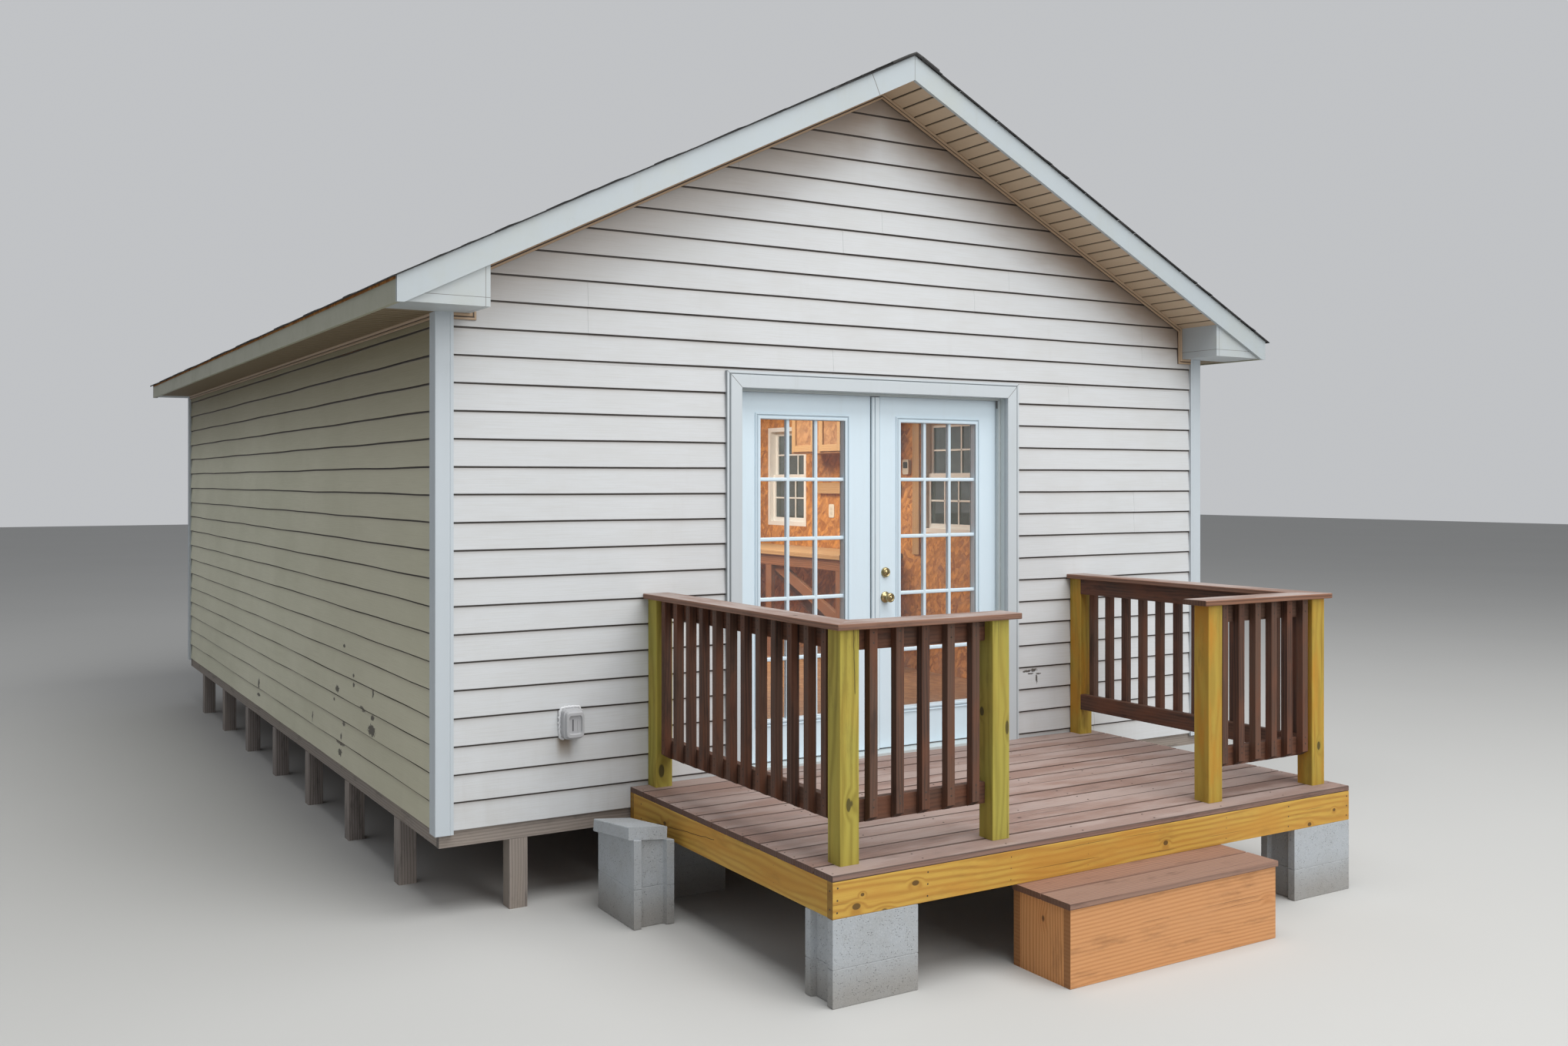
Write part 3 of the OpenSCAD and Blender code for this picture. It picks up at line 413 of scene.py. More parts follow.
@dataclass(frozen=True)
class SidingFinish:
    """Lap siding: a faint pressed grain along the course, painted shade and shadow at the laps, and marks at
    given places.

    The field after low_dirt is the height at the middle from which the brown painted shade under the soffit
    is measured.
    """

    name: str
    colour: Colour = (0.635, 0.655, 0.675)
    shade: Colour = (0.57, 0.575, 0.57)
    low_dirt: float = 0.10
    soffit_shade_from: float = 0.0
    roof_pitch: float = 0.5
    algae: float = 0.0
    drips: tuple[Drip, ...] = ()
    blots: tuple[Blot, ...] = ()
    mud: Colour = (0.055, 0.045, 0.035)
    along_y: bool = False

    def material(self) -> Material:
        """Builds the material from Object coordinates: the run along the wall and z up."""
        s = Shader(self.name)
        x, y, z = s.place()
        run = y if self.along_y else x
        lap = s.mark("lap")
        grain = s.noise(s.vector(run * 4.0, z * 170.0, 1.0), 1.0, 4.0, 0.65)
        broad = s.noise(s.vector(run * 2.2, z * 5.0, 3.0), 1.0, 3.0, 0.6)
        streak = s.noise(s.vector(run * 9.0, z * 0.9, 5.0), 1.0, 5.0, 0.7)
        colour = s.coat(
            self.colour,
            (grain.step(0.4, 0.7) * 0.5, self.shade),
            (broad.step(0.4, 0.7) * 0.4, self.shade),
            (streak.step(0.55, 0.85) * 0.12, (0.42, 0.40, 0.35)),
            (z.step(1.15, 0.42) * self.low_dirt * streak.step(0.25, 0.7), (0.36, 0.31, 0.27)),
        )
        if self.algae:
            green = s.noise(s.vector(run * 0.9, z * 1.3, 9.0), 1.0, 3.0, 0.5)
            colour = s.coat(
                colour,
                (green.step(0.2, 0.85) * self.algae, (0.34, 0.36, 0.21)),
                # painted shade: darker towards the front corner and towards the eaves
                (run.step(1.5, -2.2) * 0.35, (0.42, 0.38, 0.27)),
                (z.step(1.9, 2.72) * 0.82, (0.19, 0.155, 0.075)),
            )
        # painted shade: a brown band under the gable soffits, stronger on the right
        if self.soffit_shade_from:
            gap = (x.math("ABSOLUTE") * -self.roof_pitch - z) + self.soffit_shade_from
            cover = (gap + (broad - 0.5) * 0.2).step(0.42, 0.02) * (x.step(-1.3, 0.2) * 0.55 + 0.45)
            colour = s.mix(cover * 0.82, colour, (0.17, 0.095, 0.038))
        for drip in self.drips:
            colour = s.mix(drip.mask(run, z, streak) * 0.8, colour, (0.20, 0.125, 0.055))
        if self.blots:
            rag = s.noise(s.vector(run * 55.0, z * 55.0, 2.0), 1.0, 4.0, 0.7)
            colour = s.coat(colour, *((blot.mask(s, run, z, rag) * 0.9, self.mud) for blot in self.blots))
        # painted shade and shadow from the lap mark: a soft brown shade just below each lap, and a near-black
        # shadow under each course's nose and on its underside
        colour = s.coat(
            colour,
            (lap.step(0.0, 0.45) * 0.30, (0.36, 0.29, 0.24)),
            (lap.step(0.5, 0.8) * 0.96, (0.035, 0.026, 0.020)),
        )
        return s.done(colour, grain * 0.2 + 0.42, grain, 0.0008, 0.8, Specular_IOR_Level=0.4)


@dataclass(frozen=True)
class PaintFinish:
    """Painted, coated or moulded plain stuff: slight dents, dust, streaks, and dark specks."""

    name: str
    colour: Colour
    soil: Colour = (0.35, 0.34, 0.28)
    soil_share: float = 0.25
    rough: float = 0.4
    dents: float = 0.4
    specks: float = 0.0
    seams: tuple[Seam, ...] = ()
    groove: Optional[Colour] = None
    green: Optional[Colour] = None

    def material(self) -> Material:
        """Builds the material from Object coordinates."""
        s = Shader(self.name)
        x, y, z = place = s.place()
        at = s.vector(x, y, z)
        broad, fine = s.noise(at, 1.7, 4.0, 0.6), s.noise(at, 45.0, 4.0, 0.6)
        streak = s.noise(s.vector(x * 14.0, y * 14.0, z * 1.1), 1.0, 5.0, 0.7)
        layers = [
            (broad.step(0.35, 0.8) * 0.3, shade(self.colour, 0.88)),
            (streak.step(0.5, 0.85) * self.soil_share, self.soil),
        ]
        if self.green:
            layers.append((s.noise(at, 2.6, 5.0, 0.65).step(0.42, 0.75) * 0.5, self.green))
        if self.specks:
            speck = s.cells(at, 38.0).step(0.16, 0.08) * s.noise(at, 5.0, 2.0).step(0.5, 0.7)
            layers.append((speck * self.specks, shade(self.soil, 0.3)))
        layers += [(seam.mask(s, place) * 0.85, (0.12, 0.11, 0.10)) for seam in self.seams]
        # board mark: on soffits, channels, casing, leaves and astragal it paints shade in grooves and along
        # edges; on the outlet pieces it marks their darker parts
        if self.groove:
            layers.append((s.mark("board").step(0.0, 1.0), self.groove))
        relief = s.noise(at, 3.5, 2.0) * self.dents + fine * 0.06
        return s.done(s.coat(self.colour, *layers), fine * 0.15 + (self.rough - 0.07), relief, 0.006, 0.6)


@dataclass(frozen=True)
class StrandFinish:
    """Oriented strand board: three layers of long flakes at different slants, pressed flat.

    Each layer is a slant in radians and a number of flakes a metre.
    """

    name: str
    light: Colour
    dark: Colour
    layers: tuple[Pair, ...] = ((0.5, 26.0), (-0.7, 31.0), (1.35, 37.0))

    def material(self) -> Material:
        """Builds the flakes as cells stretched along turned axes, with a thin dark rim each."""
        s = Shader(self.name)
        x, y, z = s.place()
        run, side = x + y, x - y
        tones, rims = [], []
        for number, (angle, size) in enumerate(self.layers):
            c, d = math.cos(angle), math.sin(angle)
            at = s.vector((run * c + z * d) * 0.27, z * c - run * d, side * 0.4 + number * 3.1)
            tones.append(s.chance(at, size))
            rims.append(s.cells(at, size).step(0.25, 0.75))
        choose = s.noise(s.vector(run * 9.0, z * 9.0, side), 1.0, 2.0)
        tone = tones[0] * choose.step(0.45, 0.42) + tones[1] * choose.band(0.5, 0.06, 0.02)
        tone = tone + tones[2] * choose.step(0.56, 0.6)
        fibre = s.noise(s.vector(run * 60.0, z * 60.0, side), 1.0, 4.0, 0.7)
        middle = tuple(0.5 * (a + b) for a, b in zip(self.light, self.dark))
        wafer = s.cells(s.vector(run, z, side), 14.0).step(0.13, 0.09)
        colour = s.coat(
            s.ramp(tone * 0.75 + fibre * 0.3, (0.1, self.dark), (0.45, middle), (0.9, self.light)),
            (rims[1] * 0.25, shade(self.dark, 0.5)),
            (wafer * 0.6, shade(self.dark, 0.4)),
        )
        return s.done(colour, fibre * 0.2 + 0.5, tone, 0.0012, 0.6)


@dataclass(frozen=True)
class ShingleFinish:
    """Mineral granules on asphalt: mixed grey grains, tabs of different tone, streaks of weather."""

    name: str = "charcoal_shingles"
    tones: tuple[Colour, ...] = ((0.035, 0.035, 0.038), (0.075, 0.074, 0.074), (0.14, 0.135, 0.13))

    def material(self) -> Material:
        """Builds the material from the tab's own tone and fine cells."""
        s = Shader(self.name)
        x, y, z = s.place()
        at = s.vector(x, y, z)
        grain, blend = s.chance(at, 420.0), s.noise(at, 26.0, 3.0, 0.6)
        weather = s.noise(s.vector(x * 1.2, y * 1.2, z * 0.4), 1.0, 4.0, 0.6)
        share = s.mark("board") * 0.45 + grain * 0.35 + blend * 0.3
        colour = s.coat(
            s.ramp(share, *zip((0.2, 0.55, 0.95), self.tones)),
            (weather.step(0.5, 0.8) * 0.25, (0.10, 0.11, 0.07)),
            # painted shade: the lip mark darkens the butt faces, the rake ends and the caps' lapped fronts
            (s.mark("lip") * 0.75, (0.012, 0.012, 0.012)),
        )
        return s.done(colour, grain * 0.1 + 0.85, grain + blend, 0.0015, 0.7)


@dataclass(frozen=True)
class ConcreteFinish:
    """Cast concrete block: coarse pores, pale dust and damp patches."""

    name: str = "block_concrete"
    colour: Colour = (0.40, 0.43, 0.46)

    def material(self) -> Material:
        """Builds the material from Object coordinates."""
        s = Shader(self.name)
        x, y, z = s.place()
        at = s.vector(x, y, z)
        broad, fine = s.noise(at, 6.0, 5.0, 0.65), s.noise(at, 160.0, 4.0, 0.7)
        pore = s.cells(at, 130.0).step(0.32, 0.12) * s.noise(at, 40.0, 2.0).step(0.42, 0.6)
        colour = s.coat(
            self.colour,
            (broad.step(0.35, 0.75) * 0.55, (0.33, 0.34, 0.34)),
            (fine.step(0.4, 0.8) * 0.35, (0.66, 0.67, 0.68)),
            (z.step(0.22, 0.02) * 0.5, (0.22, 0.18, 0.13)),
            (pore * 0.7, (0.12, 0.12, 0.12)),
        )
        return s.done(colour, 0.92, fine * 0.6 + broad * 0.6 - pore, 0.002, 0.9)


@dataclass(frozen=True)
class MetalFinish:
    """Polished metal gone dull: fine scratches and tarnish."""

    name: str
    colour: Colour
    tarnish: Colour
    rough: float = 0.22

    def material(self) -> Material:
        """Builds the material from Object coordinates."""
        s = Shader(self.name)
        x, y, z = s.place()
        cloud = s.noise(s.vector(x, y, z), 70.0, 4.0, 0.6)
        scratch = s.noise(s.vector(x * 900.0, y * 900.0, z * 60.0), 1.0, 2.0)
        colour = s.mix(cloud.step(0.4, 0.75) * 0.7, self.colour, self.tarnish)
        rough = cloud * 0.3 + scratch * 0.08 + (self.rough - 0.12)
        return s.done(colour, rough, scratch, 0.0002, 0.3, Metallic=1.0)


@dataclass(frozen=True)
class GlassFinish:
    """Clear glass with a little dust, seen through by its alpha."""

    name: str
    dust: float = 0.03
    alpha: float = 0.035
    tone: Colour = (0.75, 0.86, 0.86)

    def material(self) -> Material:
        """Builds the material: dust makes a pane a little less clear."""
        s = Shader(self.name)
        cloud = s.noise(s.vector(*s.place()), 9.0, 5.0, 0.65)
        s.feed(s.surface.inputs["Alpha"], cloud.step(0.4, 0.9) * self.dust + self.alpha)
        material = s.done(self.tone, cloud * 0.05 + 0.03, IOR=1.5)
        material.surface_render_method = "BLENDED"
        return material


# Meshes


def unit(vector: Sequence[float]) -> Array:
    """The vector at length 1."""
    array = np.asarray(vector, float)
    return array / np.linalg.norm(array)


def box(node: str) -> tuple[Array, Array]:
    """Lowest and highest corner of a CAD node."""
    low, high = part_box(node)
    return np.array(low), np.array(high)


def sheet(*parts: Array) -> Array:
    """Points of a grid from coordinate arrays that spread over each other."""
    return np.stack(np.broadcast_arrays(*parts), -1)


def reached(points: Array) -> Array:
    """Length of a line of points up to each of them."""
    return np.concatenate([[0.0], np.cumsum(np.linalg.norm(np.diff(points, axis=0), axis=1))])


def wrap(section: Array) -> Array:
    """Length round a closed section up to each of its points and back to the first."""
    return reached(np.vstack([section, section[:1]]))


def rounded_square(angle: Array, power: int) -> Array:
    """Offsets across and up of a superellipse: cosine and sine over the norm of that power."""
    c, s = np.cos(angle), np.sin(angle)
    return np.array((c, s)) * (np.abs(c) ** power + np.abs(s) ** power) ** (-1 / power)


def seeds(count: int, start: int = 0) -> Array:
    """Fixed numbers between 0 and 1, each the fraction of a multiple of the golden ratio."""
    return ((np.arange(count) + start + 1) * 0.61803398875) % 1.0


class MeshMaker:
    """Collects grids of points into one mesh, with its flow map and its marks."""

    def __init__(self, name: str, *marks: str) -> None:
        """Starts an empty mesh with those marks on its points, or only that of its board."""
        self.name = name
        self.marks = {mark: [] for mark in marks or ("board",)}
        self.points: list[Array] = []
        self.faces: list[tuple[int, ...]] = []
        self.flow: list[Array] = []
        self.count = 0

    def _add(self, points: Array, marks: dict) -> int:
        """Adds points and their marks.

        Args:
            points: array with the three coordinates last.
            marks: values of the marks.

        Returns:
            The number of the first point.
        """
        start = self.count
        flat = points.reshape(-1, 3)
        self.points.append(flat)
        self.count += len(flat)
        for mark, store in self.marks.items():
            value = np.broadcast_to(np.asarray(marks.get(mark, 0.0), float), points.shape[:-1])
            store.append(value.reshape(-1))
        return start

    def grid(
        self, points: Array, flow: Optional[Array] = None, closed: bool = False, flip: bool = False,
        **marks: Mark,
    ) -> None:
        """Adds a grid of faces.

        Args:
            points: array (m, n, 3); its faces point along d/dm x d/dn.
            flow: array (m, n or n + 1, 2) of places on the flow map; zeros if left out.
            closed: whether the last column joins the first.
            flip: whether the faces are turned round.
            marks: values of the marks, one number or an array (m, n).
        """
        m, n = points.shape[:2]
        start = self._add(points, marks)
        wide = n if closed else n - 1
        if flow is None:
            flow = np.zeros((m, wide + 1, 2))
        i, j = (a.reshape(-1) for a in np.meshgrid(np.arange(m - 1), np.arange(wide), indexing="ij"))
        k = (j + 1) % n
        quads = start + np.stack([i * n + j, (i + 1) * n + j, (i + 1) * n + k, i * n + k], 1)
        corners = np.stack([flow[i, j], flow[i + 1, j], flow[i + 1, j + 1], flow[i, j + 1]], 1)
        if flip:
            quads, corners = quads[:, ::-1], corners[:, ::-1]
        self.faces.extend(map(tuple, quads))
        self.flow.append(corners.reshape(-1, 2))

    def lid(
        self, ring: Array, flip: bool = False, flow: Pair = (0.0, 0.0), **marks: float
    ) -> None:
        """Closes a convex ring of points with a fan round its middle.

        Args:
            ring: array (n, 3), turning left round the way the lid faces.
            flip: whether it faces the other way.
            flow: place of the lid on the flow map.
            marks: values of the marks.
        """
        n = len(ring)
        start = self._add(np.vstack([ring, ring.mean(0)])[None], marks)
        a = np.arange(n)
        fan = start + np.stack([a, (a + 1) % n, np.full(n, n)], 1)
        if flip:
            fan = fan[:, ::-1]
        self.faces.extend(map(tuple, fan))
        spread = ring - ring.mean(0)
        axes = np.argsort(np.ptp(ring, axis=0))[1:]
        local = np.vstack([spread[:, axes], np.zeros(2)]) + np.asarray(flow)
        self.flow.append(local[fan - start].reshape(-1, 2))

    def carry(
        self, section: Array, path: Sequence[Point], normal: Point, ring: bool = False, **marks: object
    ) -> None:
        """Carries a closed section along a flat path; at a corner its offset to the side is stretched
        by one over the cosine of half the turn, so that the runs meet on the mitre.

        Args:
            section: array (n, 2): offset to the left of the path, and offset along the normal.
            path: points in one plane.
            normal: the plane's normal.
            ring: whether the path closes on itself.
            marks: values of the marks.
        """
        path, facing = np.asarray(path, float), unit(normal)
        steps = np.diff(np.vstack([path, path[:1]]) if ring else path, axis=0)
        runs = steps / np.linalg.norm(steps, axis=1)[:, None]
        before = np.roll(runs, 1, axis=0) if ring else np.vstack([runs[:1], runs])
        after = runs if ring else np.vstack([runs, runs[-1:]])
        bisect = before + after
        bisect /= np.linalg.norm(bisect, axis=1)[:, None]
        stretch = 1.0 / np.sum(bisect * after, axis=1)
        side = np.cross(facing, bisect) * stretch[:, None]
        grid = path[:, None] + section[None, :, :1] * side[:, None] + section[None, :, 1:] * facing
        if ring:
            grid = np.concatenate([grid, grid[:1]])
        flow = sheet(reached(grid[:, 0])[:, None], wrap(section)[None])
        self.grid(grid, flow, closed=True, **marks)
        if not ring:
            ends = {mark: float(np.mean(value)) for mark, value in marks.items()}
            self.lid(grid[0], **ends)
            self.lid(grid[-1], flip=True, **ends)

    def lathe(self, outline: Array, centre: Point, axis: Point, around: int = 48) -> None:
        """Turns an outline of radius and height round an axis: each row is a circle of that radius.

        Args:
            outline: array (n, 2) from the foot on the axis to the tip on the axis.
            centre: foot of the axis.
            axis: its direction.
            around: points round a circle.
        """
        up = unit(axis)
        side = unit(np.cross(up, (0.0, 0.0, 1.0) if abs(up[2]) < 0.9 else (1.0, 0.0, 0.0)))
        other = np.cross(up, side)
        angle = np.linspace(0, 2 * math.pi, around, endpoint=False)
        circle = np.outer(np.cos(angle), side) + np.outer(np.sin(angle), other)
        grid = np.asarray(centre) + outline[:, None, :1] * circle[None] + outline[:, None, 1:] * up
        self.grid(grid, closed=True, flip=True)
        self.lid(grid[0], flip=True)
        self.lid(grid[-1])

    def make(
        self, slot: str, finish: Union[Finish, Material], *nodes: str, body: str = "house",
        smooth: bool = False,
    ) -> None:
        """Makes the object and ties it to its body.

        Args:
            slot: material slot of the record; not used.
            finish: its finish, or a material that it shares.
            nodes: CAD nodes that it replaces.
            body: the body that it rides on.
            smooth: whether its faces are shaded smooth.
        """
        mesh = bpy.data.meshes.new(self.name)
        mesh.from_pydata(np.vstack(self.points), [], self.faces)
        mesh.uv_layers.new(name="flow").data.foreach_set("uv", np.vstack(self.flow).ravel())
        for mark, store in self.marks.items():
            layer = mesh.attributes.new(mark, "FLOAT", "POINT")
            layer.data.foreach_set("value", np.concatenate(store))
        mesh.polygons.foreach_set("use_smooth", [smooth] * len(mesh.polygons))
        mesh.materials.append(finish if isinstance(finish, Material) else finish.material())
        mesh.validate()
        mesh.update()
        piece = bpy.data.objects.new(self.name, mesh)
        bpy.context.scene.collection.objects.link(piece)
        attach(piece, body)
        if nodes:
            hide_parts(*nodes)
        LOG.info("%s: %d faces", self.name, len(mesh.polygons))


@dataclass(frozen=True)
class Board:
    """A sawn board between two points on its middle line, with eased edges and slanted ends."""

    start: Point
    end: Point
    across: Point
    width: float
    depth: float
    ease: float = 0.003
    slant_start: Pair = (0.0, 0.0)
    bow: float = 0.0012
    spacing: float = 0.3

    def add(self, maker: MeshMaker, seed: float) -> None:
        """Carries the section, a rectangle whose corners are quarter circles of radius ease, along the
        middle line, which bows by half a sine, and closes both ends.

        Args:
            maker: the mesh that takes the board.
            seed: the board's own number between 0 and 1.
        """
        w, d, r = self.width / 2, self.depth / 2, self.ease
        inner = min(0.012, w * 0.5, d * 0.5)
        section, edge = [], [0.0, 1.0, 1.0, 1.0, 0.0] * 4
        for turn, (sx, sy) in enumerate(((1, 1), (-1, 1), (-1, -1), (1, -1))):
            angles = np.radians(90 * turn + np.array([0.0, 45.0, 90.0]))
            arc = np.stack([sx * (w - r) + r * np.cos(angles), sy * (d - r) + r * np.sin(angles)], 1)
            upright, level = [sx * w, sy * (d - inner)], [sx * (w - inner), sy * d]
            section += [upright, *arc, level] if turn % 2 == 0 else [level, *arc, upright]
        section = np.array(section)
        a, b = np.asarray(self.start, float), np.asarray(self.end, float)
        length = np.linalg.norm(b - a)
        run, across = (b - a) / length, unit(self.across)
        through = np.cross(run, across)
        t = np.linspace(0, 1, max(2, int(length / self.spacing) + 2))
        sway = self.bow * np.sin(math.pi * t) * math.sin(seed * 40.0)
        base = a + np.outer(t, b - a) + np.outer(sway, through)
        grid = base[:, None] + section[None, :, :1] * across + section[None, :, 1:] * through
        grid[0] += np.outer(section @ np.asarray(self.slant_start), run)
        flow = sheet((t * length)[:, None], wrap(section)[None])
        maker.grid(grid, flow, closed=True, flip=True, board=seed, edge=edge)
        maker.lid(grid[0], flip=True, flow=(seed, 0.0), board=seed, cut=1.0)
        maker.lid(grid[-1], flow=(seed, 0.5), board=seed, cut=1.0)


def board_in(low: Sequence[float], high: Sequence[float], ease: float = 0.003, bow: float = 0.0012) -> Board:
    """The board that fills a box, along its longest side.

    Args:
        low: lowest corner.
        high: highest corner.
        ease: radius of its edges.
        bow: how far it bows.

    Returns:
        The board.
    """
    low, high = np.asarray(low, float), np.asarray(high, float)
    size, middle, axes = high - low, (low + high) / 2, np.eye(3)
    thin, wide, long = np.argsort(size)
    reach = axes[long] * (size[long] / 2)
    ends = tuple(middle - reach), tuple(middle + reach)
    return Board(*ends, tuple(axes[wide]), size[wide], size[thin], ease, bow=bow)


class BoardPile(MeshMaker):
    """A mesh of boards, marked with their own number, eased edges and cut ends."""

    def __init__(self, name: str) -> None:
        """Starts an empty pile."""
        super().__init__(name, "board", "edge", "cut")

    def lay(self, boards: Sequence[Board], start: int = 0) -> None:
        """Adds boards, each with the next seed from that start."""
        for board, seed in zip(boards, seeds(len(boards), start)):
            board.add(self, float(seed))


def solids(node: str) -> list[tuple[Array, Array]]:
    """Boxes of a node's separate solids.

    Args:
        node: a CAD node.

    Returns:
        Lowest and highest corner of each solid, in the order of their middles along y, x and z.
    """
    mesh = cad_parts[node].data
    points = np.zeros(len(mesh.vertices) * 3)
    mesh.vertices.foreach_get("co", points)
    points = points.reshape(-1, 3)
    point = np.unique(np.round(points, 5), axis=0, return_inverse=True)[1].reshape(-1)
    corners = np.zeros(len(mesh.loops), int)
    mesh.loops.foreach_get("vertex_index", corners)
    triangles = point[corners].reshape(-1, 3)
    label = np.arange(point.max() + 1)
    while True:
        fresh = label.copy()
        np.minimum.at(fresh, triangles.reshape(-1), np.repeat(label[triangles].min(1), 3))
        fresh = fresh[fresh]
        if (fresh == label).all():
            break
        label = fresh
    owner = label[point]
    boxes = [(points[owner == k].min(0), points[owner == k].max(0)) for k in np.unique(owner)]
    return sorted(boxes, key=lambda corner: tuple(np.round((corner[0] + corner[1])[[1, 0, 2]], 3)))


def profile(*rows: Point) -> tuple[Array, Array]:
    """Splits rows of place across, place outwards and mark into a section and its marks."""
    table = np.array(rows, float)
    return table[:, :2], table[:, 2]


# Walls


class Side(Enum):
    """The four walls, and the way that each faces along x and y."""

    FRONT = (0, -1)
    BACK = (0, 1)
    LEFT = (-1, 0)
    RIGHT = (1, 0)

    def __str__(self) -> str:
        """The wall's name as the nodes have it."""
        return self.name.lower()


@dataclass
class Shell:
    """Sizes of the cabin that several pieces share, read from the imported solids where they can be."""

    half: float = 2.4385
    siding_z: float = 0.4
    ridge_z: float = 4.20175
    pitch: float = 0.5
    soffit_z: float = 2.745
    under: float = 0.11292
    soffit: float = 0.01006
    shingle: float = 0.0123
    post_reach: float = 2.3655
    return_x: float = 2.2885
    tail_x: float = 2.6845
    eave_x: float = 2.7035
    rake: float = 0.305
    post: float = 0.073
    front_y: float = field(default_factory=lambda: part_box("siding_front")[0].y)
    back_y: float = field(default_factory=lambda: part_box("siding_back")[1].y)

    @property
    def slope(self) -> float:
        """Length down the roof for a metre across."""
        return math.sqrt(1 + self.pitch**2)

    @property
    def ceiling(self) -> float:
        """How far the gable soffits lie below the roof's top."""
        return self.under + self.soffit

    @property
    def gables(self) -> tuple[tuple[int, float], tuple[int, float]]:
        """The way that each gable faces along y, and its place."""
        return (-1, self.front_y), (1, self.back_y)

    def frame_of(self, side: Side) -> tuple[Array, Array, Array]:
        """Foot of a wall's middle line, the way along it, and the way it faces."""
        facing, middle = np.array((*side.value, 0.0)), np.array((0.0, (self.front_y + self.back_y) / 2, 0.0))
        reach = (self.half, self.back_y - middle[1], 0.0)
        return middle + facing * reach, np.cross((0, 0, 1), facing), facing

    def roof(self, x: Union[float, Array], drop: float = 0.0) -> Union[float, Array]:
        """Height of the roof's top less a drop, at x."""
        return self.ridge_z - self.pitch * np.abs(x) - drop

    def reach(self, z: Array, drop: float) -> Array:
        """Distance from the ridge where the roof less a drop has height z."""
        return (self.ridge_z - drop - z) / self.pitch


@dataclass
class LapSiding:
    """Courses of lap siding on one wall, cut round its openings.

    A hole is its left, right, lowest and highest edge, along the wall from its middle.
    """

    shell: Shell
    side: Side
    finish: SidingFinish
    holes: Sequence[tuple[float, float, float, float]] = ()
    course: float = 0.127
    lean: float = 0.009
    panel: float = 3.66
    shadow: float = 0.0075
    ripple: float = 0.0005
    sway: float = 0.0007
    joint_gap: float = 0.0006
    joint_lift: float = 0.0014
    proud: float = 0.0015
    column: float = 0.22

    @property
    def gable(self) -> bool:
        """Whether the wall ends under a gable."""
        return self.side in (Side.FRONT, Side.BACK)

    def limits(self, z: Array) -> Array:
        """How far the siding runs to each side at height z."""
        if self.gable:
            return np.clip(self.shell.reach(z, self.shell.ceiling), 0.002, self.shell.post_reach)
        return np.full_like(z, (self.shell.back_y - self.shell.front_y) / 2 - self.shell.post)

    def top(self) -> float:
        """Height where the siding ends."""
        return float(self.shell.roof(0.0, self.shell.ceiling)) - 0.002 if self.gable else self.shell.soffit_z

    def rows(self, number: int) -> tuple[Array, Array, Array]:
        """Section of a course: an underside, a round nose, and a face that leans back to the next lap.

        Args:
            number: the course, counted from the foot.

        Returns:
            Heights, distances out from the wall's plane, and the lap mark, where the finish paints shade and
            shadow.
        """
        foot = self.shell.siding_z + number * self.course
        d = self.course - self.shadow
        rise = np.array([0.0, 0.0, 0.0008, 0.003, 0.05, d - 0.026, d - 0.012, d - 0.001, d, self.course])
        out = -self.lean * rise / self.course
        out[:3] = [-self.lean, -0.0022, -0.0006]
        # lap mark: 1 on the underside and in the band under the next nose, rising softly below it; the finish
        # paints shade there
        lap = np.array([1.0, 0.7, 0.0, 0.0, 0.0, 0.0, 0.15, 0.42, 1.0, 1.0])
        return foot + rise, out, lap

    def swaying(self, along: Array, number: int) -> Array:
        """Rise of a lap from its true height: the sum of two sines.

        Args:
            along: places along the wall.
            number: the lap's course.

        Returns:
            The rise at each place.
        """
        if number == 0:
            return np.zeros_like(along)
        turn = number * 1.7
        return self.sway * (np.sin(along * 2.6 + turn) + 0.7 * np.sin(along * 6.1 + turn * 2.0))

    def strip(
        self, maker: MeshMaker, number: int, low: float, high: float, left: Edge, right: Edge
    ) -> None:
        """Adds the part of a course between two heights and two edges.

        Its face waves by the sum of two sines, and a panel laps over the one before it at each joint.

        Args:
            maker: the mesh that takes it.
            number: the course.
            low: lowest height.
            high: highest height.
            left: left edge, or None for the wall's own.
            right: the same for the right edge.
        """
        z, out, lap = self.rows(number)
        near = 1e-6
        whole = low <= z[0] + near and high >= z[-1] - near
        if low > z[0] + near:
            out = np.interp(np.clip(z, low, high), z + np.arange(len(z)) * 1e-9, out)
        z = np.clip(z, low, high)
        a = -self.limits(z) if left is None else np.full_like(z, left)
        b = self.limits(z) if right is None else np.full_like(z, right)
        span = float(np.max(b - a))
        if z[-1] - z[0] < 0.001 or span < 0.01:
            return
        seam = seeds(1, number // 2)[0] * self.panel - span / 2
        joints = [joint for joint in (seam, seam + self.panel) if a.min() + 0.1 < joint < b.max() - 0.1]
        across = np.linspace(0, 1, max(2, int(span / self.column)))
        along = a + (b - a) * across[:, None]
        for joint in joints:
            nearest = int(np.argmin(np.abs(along[:, 0] - joint)))
            if 0 < nearest < len(across) - 2:
                along[nearest], along[nearest + 1] = joint - self.joint_gap, joint + self.joint_gap
        lift = np.zeros_like(along)
        for joint in joints:
            lift += self.joint_lift * (along > joint)
        wave = self.ripple * (np.sin(along * 9.0 + number * 2.3) + np.sin(along * 3.7 + number))
        share = np.clip((z - self.shell.siding_z) / self.course - number, 0.0, 1.0)
        sway = self.swaying(along, number) * (1 - share) + self.swaying(along, number + 1) * share
        depth = np.minimum(out + np.where(lap > 0.5, 0.0, wave) + lift * (lap < 0.9), self.proud)
        origin, run, facing = self.shell.frame_of(self.side)
        grid = origin + along[..., None] * run + depth[..., None] * facing
        grid[..., 2] = z + sway * whole
        maker.grid(grid, lap=lap)

